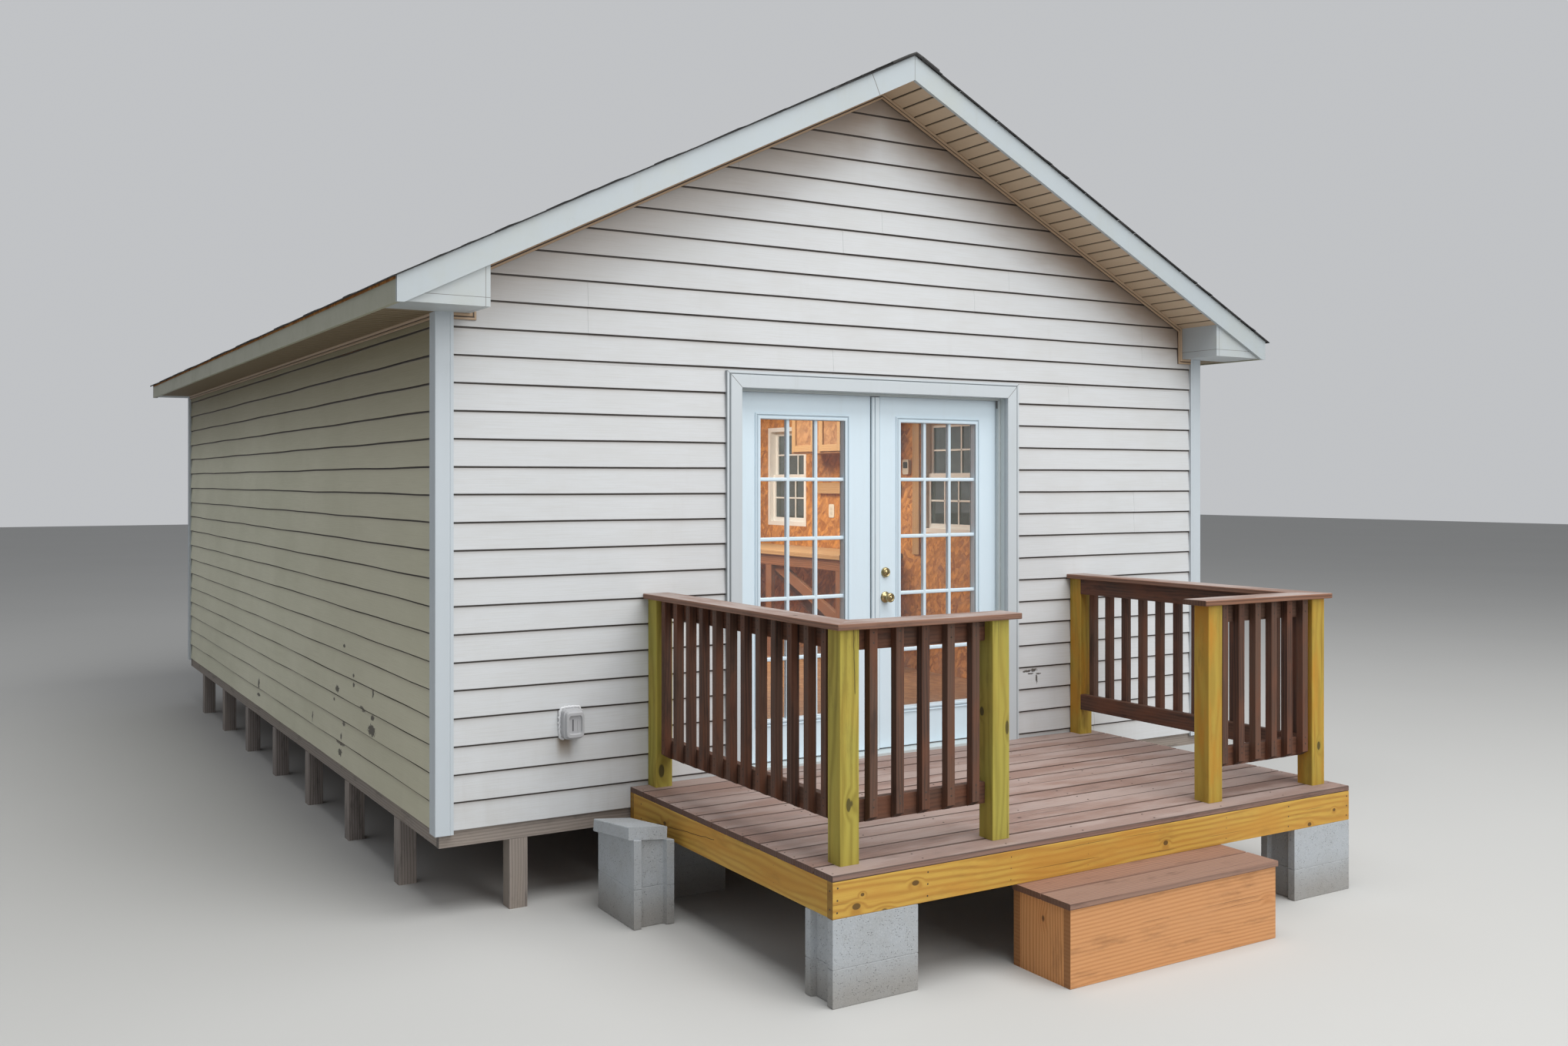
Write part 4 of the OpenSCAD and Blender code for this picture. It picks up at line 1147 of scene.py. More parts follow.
    def build(self) -> None:
        """Builds all courses: where a hole crosses one, it is split above, below and beside the hole."""
        node = f"siding_{self.side}"
        maker = MeshMaker(f"{node}_courses", "lap")
        top = self.top()
        for number in range(math.ceil((top - self.shell.siding_z) / self.course)):
            foot = self.shell.siding_z + number * self.course
            head = min(foot + self.course + 0.0005, top)
            cuts = sorted({foot, head, *(z for hole in self.holes for z in hole[2:] if foot < z < head)})
            for low, high in zip(cuts[:-1], cuts[1:]):
                middle = (low + high) / 2
                crossed = sorted(hole[:2] for hole in self.holes if hole[2] < middle < hole[3])
                edges = [None, *(edge for hole in crossed for edge in hole), None]
                for left, right in zip(edges[::2], edges[1::2]):
                    self.strip(maker, number, low, high, left, right)
        maker.make("siding", self.finish, node)


@dataclass
class CornerPosts:
    """Moulded posts at the corners: two faces with a crease, folded round the corner."""

    shell: Shell
    finish: PaintFinish
    face: float = 0.085
    proud: float = 0.012
    foot: float = 0.385
    crease: float = 0.0685

    def build(self) -> None:
        """Carries the folded section up each corner; the crease is a groove 2 mm deep."""
        maker = MeshMaker("corner_post_mouldings")
        f, c, p, w = self.face, self.crease, self.proud, self.proud + 0.004
        edge = [(0, f), (0, c + 0.003), (0.002, c), (0, c - 0.003), (0, 0.002)]
        turned = [(across, along) for along, across in edge[::-1]]
        section = np.array([*edge, (0.0006, 0.0006), *turned, (f, w), (w, w), (w, f)]).T
        z = np.array([self.foot, 1.0, 1.8, self.shell.soffit_z])
        for sx in (-1, 1):
            for sy, wall in self.shell.gables:
                x, y = sx * (self.shell.half + p - section[0]), wall + sy * (p - section[1])
                maker.grid(sheet(x, y, z[:, None]), closed=True, flip=sx * sy < 0)
        maker.make("white_trim", self.finish, "corner_posts")


# Roof


@dataclass
class Shingles:
    """Laminated shingles in courses, each tab of its own width, tone and thickness, and the ridge caps."""

    shell: Shell
    finish: ShingleFinish
    exposure: float = 0.143
    butt: float = 0.0055
    tab: float = 0.0032
    lift: float = 0.001
    gap: float = 0.0006
    widths: Pair = (0.11, 0.30)
    ragged: float = 0.004
    over: float = 0.0204
    side_over: float = 0.0148
    seed: int = 11

    @property
    def ends(self) -> Pair:
        """Places along y where the courses begin and end."""
        past = self.shell.rake + self.side_over
        return self.shell.front_y - past, self.shell.back_y + past

    def _points(self, down: Array, y: Array, height: Array, sign: int) -> Array:
        """Points at a distance down the left or right slope (sign) and a height square to it."""
        x = sign * (down + height * self.shell.pitch) / self.shell.slope
        return sheet(x, y, self.shell.ridge_z + (height - down * self.shell.pitch) / self.shell.slope)

    def field(self, sign: int) -> None:
        """Builds one slope: each course is a wedge that rises from its top edge to its butt.

        Args:
            sign: -1 for the left slope, 1 for the right.
        """
        name = "left" if sign < 0 else "right"
        maker = MeshMaker(f"shingle_courses_{name}", "board", "lip")
        length = (self.shell.eave_x + self.over) * self.shell.slope
        rng = np.random.default_rng(self.seed + sign)
        y0, y1 = self.ends
        for number in range(math.ceil(length / self.exposure)):
            foot = length - number * self.exposure
            top = max(length - (number + 1) * self.exposure, 0.0)
            edges = y0 + np.concatenate([[0.0], np.cumsum(rng.uniform(*self.widths, 64))])
            edges = np.concatenate([edges[edges < y1 - 0.05], [y1]])
            tabs = len(edges) - 1
            tone = np.repeat(rng.uniform(0, 1, tabs), 2)
            lift = np.repeat(np.where(rng.uniform(0, 1, tabs) > 0.5, self.tab, 0.0), 2)
            jag = np.repeat(rng.uniform(-self.ragged, 0.0, tabs), 2)
            y = np.stack([edges[:-1] + self.gap, edges[1:] - self.gap], 1).reshape(-1)
            y[0], y[-1] = y0, y1
            flat = np.zeros_like(y)
            down = np.stack([flat + top, flat + (top + foot) / 2, foot + jag, foot + jag])
            rises = [flat + self.lift, self.lift + (self.butt + lift) / 2, self.lift + self.butt + lift, flat]
            # lip: 1 at the foot of each butt, where the finish paints shade
            lip = np.array([0.0, 0.0, 0.0, 1.0])[:, None]
            maker.grid(self._points(down, y, np.stack(rises), sign), flip=sign > 0, board=tone, lip=lip)
        down, height = np.array([[0.0, length]] * 2), np.array([[0.0, 0.0], [0.006, 0.006]])
        for y in self.ends:
            maker.grid(self._points(down, y, height, sign), flip=(sign > 0) != (y == y1), lip=1.0)
        maker.make("shingles", self.finish, f"shingles_{name}")

    def caps(self) -> None:
        """Builds the ridge caps: short bent pieces, each lapping the one before it."""
        maker = MeshMaker("ridge_cap_pieces", "board", "lip")
        shell = self.shell
        y0, y1 = self.ends
        count = round((y1 - y0) / self.exposure)
        step = (y1 - y0) / count
        x = np.array([-0.15, -0.10, -0.05, -0.015, 0.0, 0.015, 0.05, 0.10, 0.15])
        fall = shell.roof(x, -shell.shingle) - 0.004 * np.exp(-((x / 0.02) ** 2))
        # lip: 1 at each cap's lapped front foot, where the finish paints shade
        rise, lip = np.array([[-0.004, 1.0], [0.0075, 0.15], [0.001, 0.0]]).T[:, :, None]
        for number, tone in enumerate(seeds(count, 3)):
            near, far = y0 + number * step, y0 + (number + 1) * step
            grid = sheet(x, np.array([near, near, far])[:, None], fall + rise)
            maker.grid(grid, flip=True, board=tone, lip=lip)
            for edge in (0, -1):
                side = np.stack([grid[1:, edge], grid[1:, edge] - (0, 0, 0.008)], 1)
                maker.grid(side, flip=edge == -1, board=tone, lip=1.0)
        maker.make("shingles", self.finish, "ridge_cap")


@dataclass
class Soffits:
    """Grooved soffit panels under the gable overhangs and under the eaves."""

    shell: Shell
    finish: PaintFinish
    eave_finish: PaintFinish
    pitch: float = 0.0841
    first: float = 0.0705
    groove: float = 0.013
    deep: float = 0.007
    fascia: float = 0.019

    def profile(self, length: float) -> tuple[Array, Array, Array]:
        """Section along the panels: flat, with a groove of flat bottom and steep sides at each step.

        Args:
            length: distance covered.

        Returns:
            Places, depths and marks of the grooves, which the finish paints dark as shadow.
        """
        marks = np.arange(self.first, length, self.pitch)
        offsets = np.array([-0.5, -0.35, 0.35, 0.5]) * self.groove
        place = (marks[:, None] + offsets).reshape(-1)
        depth = np.tile([0.0, self.deep, self.deep, 0.0], len(marks))
        keep = (place > 0.001) & (place < length - 0.001)
        place, depth = np.array([0.0, *place[keep], length]), np.array([0.0, *depth[keep], 0.0])
        return place, depth, (depth > 0).astype(float)

    def build(self) -> None:
        """Builds the sloping panels of both gables and the level ones of both eaves."""
        shell = self.shell
        rake, eave = MeshMaker("rake_soffit_panels"), MeshMaker("eave_soffit_panels")
        place, depth, mark = self.profile(shell.return_x * shell.slope)
        drop = shell.ceiling - depth * shell.slope
        for sign in (-1, 1):
            for way, wall in shell.gables:
                y = np.sort(wall + way * (shell.rake - self.fascia) * np.array([0.0, 0.5, 1.0]))
                x = sign * place / shell.slope
                grid = sheet(x[:, None], y, shell.roof(x, drop)[:, None])
                rake.grid(grid, flip=sign > 0, board=mark[:, None])
        place, depth, mark = self.profile(shell.back_y - shell.front_y)
        for sign in (-1, 1):
            x = sign * np.array([shell.half, (shell.half + shell.tail_x) / 2, shell.tail_x])
            grid = sheet(x, (shell.front_y + place)[:, None], (shell.soffit_z + depth)[:, None])
            eave.grid(grid, flip=sign < 0, board=mark[:, None])
        rake.make("soffit", self.finish, "rake_soffits")
        eave.make("soffit", self.eave_finish, "eave_soffits")


@dataclass
class SoffitChannels:
    """Ribbed strips where the siding meets the soffits, turned round the eave returns."""

    shell: Shell
    finish: PaintFinish
    width: float = 0.030
    proud: float = 0.012

    def build(self) -> None:
        """Carries two ribs with a valley along both gables, with a turned-out foot, and along the eaves."""
        shell = self.shell
        maker = MeshMaker("soffit_channel_strips")
        w, p = -self.width, self.proud
        # marks: the finish paints dark shade along both edges and in the valley
        section, marks = profile(
            (w, 0, 1.0), (w, p - 0.004, 0.3), (w * 0.92, p - 0.001, 0.0), (w * 0.66, p - 0.001, 0.0),
            (w * 0.60, p - 0.006, 1.0), (w * 0.50, p - 0.006, 1.0), (w * 0.42, p - 0.003, 0.0),
            (w * 0.16, p, 0.0), (0, p, 0.4), (0, 0, 1.0),
        )
        inner, outer, low = shell.return_x, shell.post_reach, shell.soffit_z
        corner, peak = shell.roof(inner, shell.ceiling), shell.roof(0, shell.ceiling)
        half = [(outer, low), (inner, low), (inner, corner)]
        line = [*((-x, z) for x, z in half), (0, peak), *half[::-1]]
        for sign, wall in shell.gables:
            path = [(-sign * x, wall + sign * SKIN, z) for x, z in line]
            maker.carry(section, path, (0, sign, 0), board=marks)
        ends = shell.front_y + shell.post, shell.back_y - shell.post
        for sign in (-1, 1):
            path = [(sign * (shell.half + SKIN), y, low) for y in ends[::sign]]
            maker.carry(section, path, (sign, 0, 0), board=marks)
        maker.make("white_trim", self.finish, "soffit_channels")


# Doors


@dataclass
class DoorSurround:
    """Casing round the doorway."""

    shell: Shell
    finish: PaintFinish
    half: float = 0.872
    top: float = 2.457
    foot: float = 0.5013
    width: float = 0.085
    proud: float = 0.020
    seat: float = 0.013

    def build(self) -> None:
        """Carries the casing's stepped section up one side, over the head and down the other."""
        maker = MeshMaker("door_casing")
        w, p, b = self.width, self.proud, self.seat
        # marks: the finish paints shade in the groove and along both edges
        section, marks = profile(
            (w, -b, 1.0), (w, p - 0.006, 0.4), (w - 0.001, p - 0.005, 0.0), (0.073, p - 0.005, 0.0),
            (0.072, p - 0.009, 1.0), (0.069, p - 0.009, 1.0), (0.067, p - 0.004, 0.5), (0.064, p, 0.0),
            (0.002, p, 0.0), (0, p - 0.002, 0.0), (0, -b, 0.6),
        )
        h, y = self.half, self.shell.front_y
        path = [(h, y, self.foot), (h, y, self.top), (-h, y, self.top), (-h, y, self.foot)]
        maker.carry(section * (-1, 1), path, (0, -1, 0), board=marks)
        maker.make("white_trim", self.finish, "door_trim")


@dataclass
class DoorLeaf:
    """One glazed leaf: slab, moulded glazing frame, bars on both sides of the glass."""

    side: Side
    middle: float
    finish: PaintFinish
    lite_w: float = 0.590
    lite_h: float = 1.634
    lite_z: float = 0.704
    border: float = 0.033
    columns: int = 3
    lines: int = 5
    proud: float = 0.008
    bar: float = 0.020
    bar_depth: float = 0.0105
    glass: float = 0.0034
    ease: float = 0.002

    @property
    def opening(self) -> tuple[float, float, float, float]:
        """Left, right, lowest and highest edge of the glass that shows."""
        half, foot, head = self.lite_w / 2 - self.border, self.lite_z, self.lite_z + self.lite_h
        return self.middle - half, self.middle + half, foot + self.border, head - self.border

    def build(self) -> None:
        """Builds the slab as a frame round the glass, and carries mouldings round it and bars across it.

        The moulding is a bead, a cove and a flat lip; a bar is a block with eased edges.
        """
        node, leaf = f"door_leaf_{self.side}", f"{self.side}_leaf"
        maker = MeshMaker(f"{leaf}_joinery")
        low, high = box(node)
        e, front, back = self.ease, low[1] + self.proud, high[1]
        inner, outer = self.opening, (low[0], high[0], low[2], high[2])
        eased = (low[0] + e, high[0] - e, low[2] + e, high[2] - e)
        loops = [(inner, front), (eased, front), (outer, front + e), (outer, back - e)]
        loops += [(eased, back), (inner, back), (inner, front)]
        maker.grid(np.array([self._loop(edges, y) for edges, y in loops]), closed=True)
        b, p = self.border, self.proud - SKIN
        # marks: the finish paints shade in the cove and along the moulding's edges
        moulding, marks = profile(
            (0, -0.012, 0.4), (0, p * 0.5, 0.0), (0.003, p * 0.9, 0.0), (0.007, p * 0.9, 0.0),
            (0.010, p * 0.3, 0.7), (0.013, p * 0.25, 0.7), (0.017, p * 0.7, 0.0), (0.021, p, 0.0),
            (b - 0.004, p, 0.0), (b - 0.001, p * 0.6, 0.5), (b, p * 0.2, 1.0), (b, -0.002, 1.0),
        )
        for way, y in ((-1, front), (1, back - 0.004)):
            path = self._loop(inner, y)[::-way]
            maker.carry(moulding - (b, 0.0), path, (0, way, 0), ring=True, board=marks)
        w, d = self.bar / 2, self.bar_depth
        bar = np.array([(w, 0), (w, d * 0.6), (w * 0.55, d), (-w * 0.55, d), (-w, d * 0.6), (-w, 0)])
        x0, x1, z0, z1 = inner
        for way in (-1, 1):
            y = (front + back) / 2 + way * self.glass
            for x in np.linspace(x0, x1, self.columns + 1)[1:-1]:
                maker.carry(bar, [(x, y, z0), (x, y, z1)], (0, way, 0))
            for z in np.linspace(z0, z1, self.lines + 1)[1:-1]:
                maker.carry(bar * (1, 0.97), [(x0, y, z), (x1, y, z)], (0, way, 0))
        maker.make("door_paint", self.finish, node, body=leaf)

    def _loop(self, edges: Sequence[float], y: float) -> list[Point]:
        """Corners of an upright rectangle at y, turning left as seen from the front."""
        x0, x1, z0, z1 = edges
        return [(x0, y, z0), (x1, y, z0), (x1, y, z1), (x0, y, z1)]


@dataclass
class Astragal:
    """Moulded bar on the meeting edge of the left leaf: two flats with a valley between them."""

    finish: PaintFinish
    face: float = -2.685
    proud_top: float = 2.440

    def build(self) -> None:
        """Carries the bar's section up the leaf's edge, and behind it the block that closes the gap."""
        low, high = box("astragal")
        maker = MeshMaker("astragal_moulding")
        w, p = (high[0] - low[0]) / 2, self.face - low[1]
        # marks: the finish paints shadow along both edges and shade in the valley
        section, marks = profile(
            (w, -0.002, 1.0), (w, 0.003, 0.7), (w, p - 0.003, 0.0), (w - 0.003, p - 0.001, 0.0),
            (w - 0.016, p - 0.001, 0.0), (w - 0.018, p - 0.006, 0.45), (w - 0.020, p - 0.006, 0.45),
            (w - 0.022, p, 0.0), (0.004 - w, p, 0.0), (-w, p - 0.004, 0.1), (-w, 0.003, 0.5),
            (-w, -0.002, 0.8),
        )
        foot = ((low[0] + high[0]) / 2, self.face, low[2])
        thick = high[1] - self.face
        block = np.array([(w, -thick), (w, 0.0), (-w, 0.0), (-w, -thick)])
        maker.carry(section, [foot, (*foot[:2], self.proud_top)], (0, -1, 0), board=marks)
        # the block behind is marked a little darker, as painted shade in the gap
        maker.carry(block, [foot, (*foot[:2], high[2])], (0, -1, 0), board=0.3)
        maker.make("door_paint", self.finish, "astragal", body="left_leaf")


@dataclass
class Locks:
    """Knob and deadbolt on the right leaf, inside and out."""

    finish: MetalFinish
    x: float = 0.0835
    knob_z: float = 1.347
    bolt_z: float = 1.483
    recess: float = 0.008

    def build(self) -> None:
        """Turns each piece round its axis: knobs, the bolt's cylinder outside and its plate inside."""
        low, high = box("door_leaf_right")
        maker = MeshMaker("door_lock_set")
        knob = [
            (0, 0), (0.031, 0), (0.031, 0.002), (0.029, 0.005), (0.024, 0.008), (0.015, 0.010),
            (0.0115, 0.014), (0.0115, 0.026), (0.014, 0.030), (0.020, 0.033), (0.0245, 0.038),
            (0.0265, 0.044), (0.026, 0.050), (0.022, 0.056), (0.016, 0.0585), (0.0155, 0.057),
            (0.009, 0.057), (0.0085, 0.0595), (0, 0.060),
        ]
        bolt = [
            (0, 0), (0.028, 0), (0.028, 0.002), (0.026, 0.010), (0.021, 0.0155), (0.0195, 0.0165),
            (0.0185, 0.0145), (0.011, 0.0145), (0.0105, 0.0175), (0, 0.018),
        ]
        plate = [(0, 0), (0.031, 0), (0.031, 0.003), (0.028, 0.006), (0.012, 0.009), (0, 0.010)]
        pairs = ((low[1] + self.recess - SKIN, -1, bolt), (high[1] + SKIN, 1, plate))
        for y, way, end in pairs:
            for outline, z in ((knob, self.knob_z), (end, self.bolt_z)):
                maker.lathe(np.array(outline), (self.x, y, z), (0, way, 0))
        maker.make("brass", self.finish, "door_locks", body="right_leaf", smooth=True)


# Deck and timber


@dataclass
class Timber:
    """Boards that fill the boxes of a node's solids, or those that another class lays."""

    node: str
    slot: str
    finish: WoodFinish
    ease: float = 0.003

    def build(self, boards: Sequence[Board] = ()) -> Object:
        """Builds the boards.

        Args:
            boards: the boards, or none for one in each solid.
        """
        pile = BoardPile(f"{self.node}_boards")
        boards = boards or [board_in(low, high, self.ease) for low, high in solids(self.node)]
        pile.lay(boards, len(self.node))
        pile.make(self.slot, self.finish, self.node)


@dataclass
class BoxStep:
    """Boards on edge that carry the step's tread: front and back, and two sides between them."""

    thick: float = 0.038

    def boards(self) -> list[Board]:
        """The four boards, placed from the node's box."""
        (x0, y0, z0), (x1, y1, z1) = box("step_box")
        t = self.thick
        return [
            board_in((x0, y0, z0), (x1, y0 + t, z1)),
            board_in((x0, y1 - t, z0), (x1, y1, z1)),
            board_in((x0, y0 + t, z0), (x0 + t, y1 - t, z1)),
            board_in((x1 - t, y0 + t, z0), (x1, y1 - t, z1)),
        ]


@dataclass
class RailPanel:
    """Rails with square balusters on their outer face, cut to a slant at the foot."""

    node: str
    count: int
    gap: float
    run: Pair
    out: Pair
    rail_w: float = 0.038
    rail_h: float = 0.089
    stick: float = 0.038
    slant: float = 0.6

    def boards(self) -> list[Board]:
        """Two rails and the balusters, placed from the node's box."""
        low, high = box(self.node)
        run, out = np.array((*self.run, 0.0)), np.array((*self.out, 0.0))
        length, thick = abs((high - low) @ run), abs((high - low) @ out)
        face = (low + high) / 2 + out * (thick / 2 - self.stick)
        made = []
        for z in (low[2] + self.rail_h / 2, high[2] - self.rail_h / 2):
            line = face - out * self.rail_w / 2
            line[2] = z
            ends = tuple(line - run * length / 2), tuple(line + run * length / 2)
            made.append(Board(*ends, (0, 0, 1), self.rail_h, self.rail_w))
        step = (length - 2 * self.gap - self.stick) / (self.count - 1)
        cut = (0.0, self.slant * float(np.sign(np.cross((0, 0, 1), run) @ out)))
        for k in range(self.count):
            foot = face + out * self.stick / 2 + run * (self.gap + self.stick / 2 + k * step - length / 2)
            head = foot.copy()
            foot[2], head[2] = low[2] + self.stick * 0.3, high[2]
            ends = tuple(foot), tuple(head)
            made.append(Board(*ends, tuple(run), self.stick, self.stick, 0.002, cut, 0.0008))
        return made


@dataclass
class RailCaps:
    """Flat cap boards on the railings, mitred at the corners."""

    finish: WoodFinish
    width: float = 0.140
    thick: float = 0.025
    ease: float = 0.004

    def build(self) -> None:
        """Lays a side board and a front board on each side, their mitres cut at 45 degrees."""
        pile = BoardPile("rail_cap_boards")
        low, high = box("rail_caps")
        z, half = (low[2] + high[2]) / 2, self.width / 2
        for number, (a, b) in enumerate(sorted(solids("rail_caps"), key=lambda corner: corner[0][0])):
            outer, inner, sign = (a[0], b[0], 1.0) if number == 0 else (b[0], a[0], -1.0)
            x, y = outer + sign * half, a[1] + half
            size = self.width, self.thick, self.ease
            Board((x, y, z), (x, b[1], z), (1, 0, 0), *size, (sign, 0.0)).add(pile, 0.31 + number * 0.4)
            Board((x, y, z), (inner, y, z), (0, 1, 0), *size, (1.0, 0.0)).add(pile, 0.57 + number * 0.2)
        pile.make("cap_wood", self.finish, "rail_caps")


@dataclass
class Nails:
    """Nail heads of the deck and its railings: low domes of eight sides."""

    finish: MetalFinish
    radius: float = 0.0042
    pair: float = 0.030
    sink: float = 0.0004
    drops: Pair = (0.020, 0.060)
    lifts: Pair = (0.050, 0.080)

    def spots(self, panels: Sequence[RailPanel]) -> list[tuple[Point, Point]]:
        """Puts two heads on each deck board over each joist, three in the front rim at each joist, pairs
        along the side rims, and two at the top and at the foot of each baluster.

        Args:
            panels: the railing panels.

        Returns:
            Place of each head, and the way it faces.
        """
        boxes = [(low + high) / 2 for low, high in solids("deck_frame") if high[1] - low[1] > 1.0]
        joists = sorted(float(middle[0]) for middle in boxes)
        made = []
        for low, high in solids("deck_boards"):
            edges = low[1] + self.pair, high[1] - self.pair
            made += [((x, y, high[2] - self.sink), (0.0, 0.0, 1.0)) for x in joists for y in edges]
        low, high = box("deck_frame")
        rise, front = high[2] - low[2], low[1] + self.sink
        for x in joists:
            for share in (0.17, 0.5, 0.83):
                made.append(((x + 0.004 * share, front, low[2] + rise * share), (0.0, -1.0, 0.0)))
        for x, way in ((low[0], -1.0), (high[0], 1.0)):
            for y in np.linspace(low[1] + 0.02, high[1] - 0.12, 5):
                for share in (0.25, 0.75):
                    made.append(((x - way * self.sink, y, low[2] + rise * share), (way, 0.0, 0.0)))
        for panel in panels:
            facing = (*panel.out, 0.0)
            for stick in panel.boards()[2:]:
                x, y, top = np.array(stick.end) + np.array(facing) * (stick.depth / 2 - self.sink)
                heights = [top - drop for drop in self.drops] + [stick.start[2] + lift for lift in self.lifts]
                made += [((x, y, z), facing) for z in heights]
        return made

    def build(self, panels: Sequence[RailPanel]) -> None:
        """Turns a head at each spot.

        Args:
            panels: the railing panels.
        """
        maker = MeshMaker("deck_nail_heads")
        r = self.radius
        outline = np.array([(r * 0.2, 0.0), (r, 0.0), (r * 0.9, 0.0007), (r * 0.2, 0.0011)])
        for at, facing in self.spots(panels):
            maker.lathe(outline, at, facing, around=8)
        maker.make("brass", self.finish)


@dataclass
class Blocks:
    """Cast hollow blocks in courses, with grooved ends, and the slab on the one beside the deck."""

    finish: ConcreteFinish
    course: float = 0.190
    edge: float = 0.036
    groove: float = 0.024
    flare: float = 0.008
    ease: float = 0.003
    shrink: float = 0.985
    cap: tuple[float, float, float] = (0.385, 0.190, 0.057)
    cap_ease: float = 0.005
    inset: float = 0.022
    settle: float = 0.025
    lean: Pair = (-0.10, -0.109)
    loose: Pair = (0.024, -0.205)
    loose_half: Pair = (0.099, 0.195)

    def stack(
        self, maker: MeshMaker, low: Array, high: Array, seed: float, lean: Pair = (0.0, 0.0)
    ) -> None:
        """Carries a plan, a rectangle with a shallow groove in each end, up in courses with eased edges.

        Args:
            maker: the mesh that takes it.
            low: lowest corner of the stack.
            high: highest corner.
            seed: the stack's own number.
            lean: slope of the topmost face along x and along y.
        """
        width, length = np.sort((high - low)[:2])
        a, b, g = length / 2, width / 2, width / 2 - self.edge
        d, f = self.groove, g - self.flare
        plan = [(-a, -b), (a, -b), (a, -g), (a - d, -f), (a - d, f), (a, g), (a, b), (-a, b)]
        plan = np.array([*plan, (-a, g), (-a + d, f), (-a + d, -f), (-a, -g)])
        if high[1] - low[1] > high[0] - low[0]:
            plan = np.stack([-plan[:, 1], plan[:, 0]], 1)
        plan = plan + ((low + high) / 2)[:2]
        middle = plan.mean(0)
        shrink = np.array([self.shrink, 1.0, 1.0, self.shrink])[:, None, None]
        rows = middle + (plan - middle) * shrink
        top = high[2]
        while top > low[2] + 0.001:
            foot = max(low[2], top - self.course)
            z = np.array([foot, foot + self.ease, top - self.ease, top])[:, None]
            grid = sheet(rows[..., 0], rows[..., 1], z)
            if top == high[2]:
                grid[2:, :, 2] += (rows[2:] - middle) @ np.array(lean)
            maker.grid(grid, closed=True, flip=True, board=seed)
            maker.lid(grid[-1], board=seed)
            maker.lid(grid[0], flip=True, board=seed)
            top = foot

    def build(self) -> None:
        """Builds the piers under the deck, and the leaning block and slab beside it."""
        material = self.finish.material()
        piers = MeshMaker("deck_pier_blocks")
        for number, (low, high) in enumerate(solids("deck_piers")):
            self.stack(piers, low, high, number * 0.2)
        loose = MeshMaker("loose_block_and_slab")
        low, high = box("block_stack")
        slope_x, slope_y = self.lean
        length, width, thick = self.cap
        start = np.array((low[0] + width / 2, high[1] - self.inset, high[2] - self.settle))
        end = start + (0.0, -length, -slope_y * length)
        slab = Board(tuple(start), tuple(end), (1.0, 0.0, slope_x), width, thick, self.cap_ease, bow=0.0)
        slab.add(loose, 0.7)
        dx, dy = self.loose
        under = start + (dx, dy, dy * slope_y + dx * slope_x - thick / 2)
        reach = np.array((*self.loose_half, 0.0))
        self.stack(loose, (under - reach) * (1, 1, 0), under + reach, 0.4, self.lean)
        piers.make("concrete", material, "deck_piers")
        loose.make("concrete", material, "block_stack")


# Fittings


@dataclass
class WindowBars:
    """Glazing bars on the room face of the window panes, three by two in each sash."""

    finish: PaintFinish
    across: int = 3
    upward: int = 2
    width: float = 0.014
    depth: float = 0.008
    sink: float = 0.001

    def build(self) -> None:
        """Divides each pane evenly along y and z and lays a bar on each division."""
        pile = BoardPile("window_room_bars")
        for low, high in solids("window_glass"):
            for axis, count in ((1, self.across), (2, self.upward)):
                for place in np.linspace(low[axis], high[axis], count + 1)[1:-1]:
                    start, end = low.copy(), high.copy()
                    start[0], end[0] = low[0] - self.depth, low[0] + self.sink
                    start[axis], end[axis] = place - self.width / 2, place + self.width / 2
                    board_in(start, end, 0.002, 0.0).add(pile, 0.1)
        pile.make("window_white", self.finish)


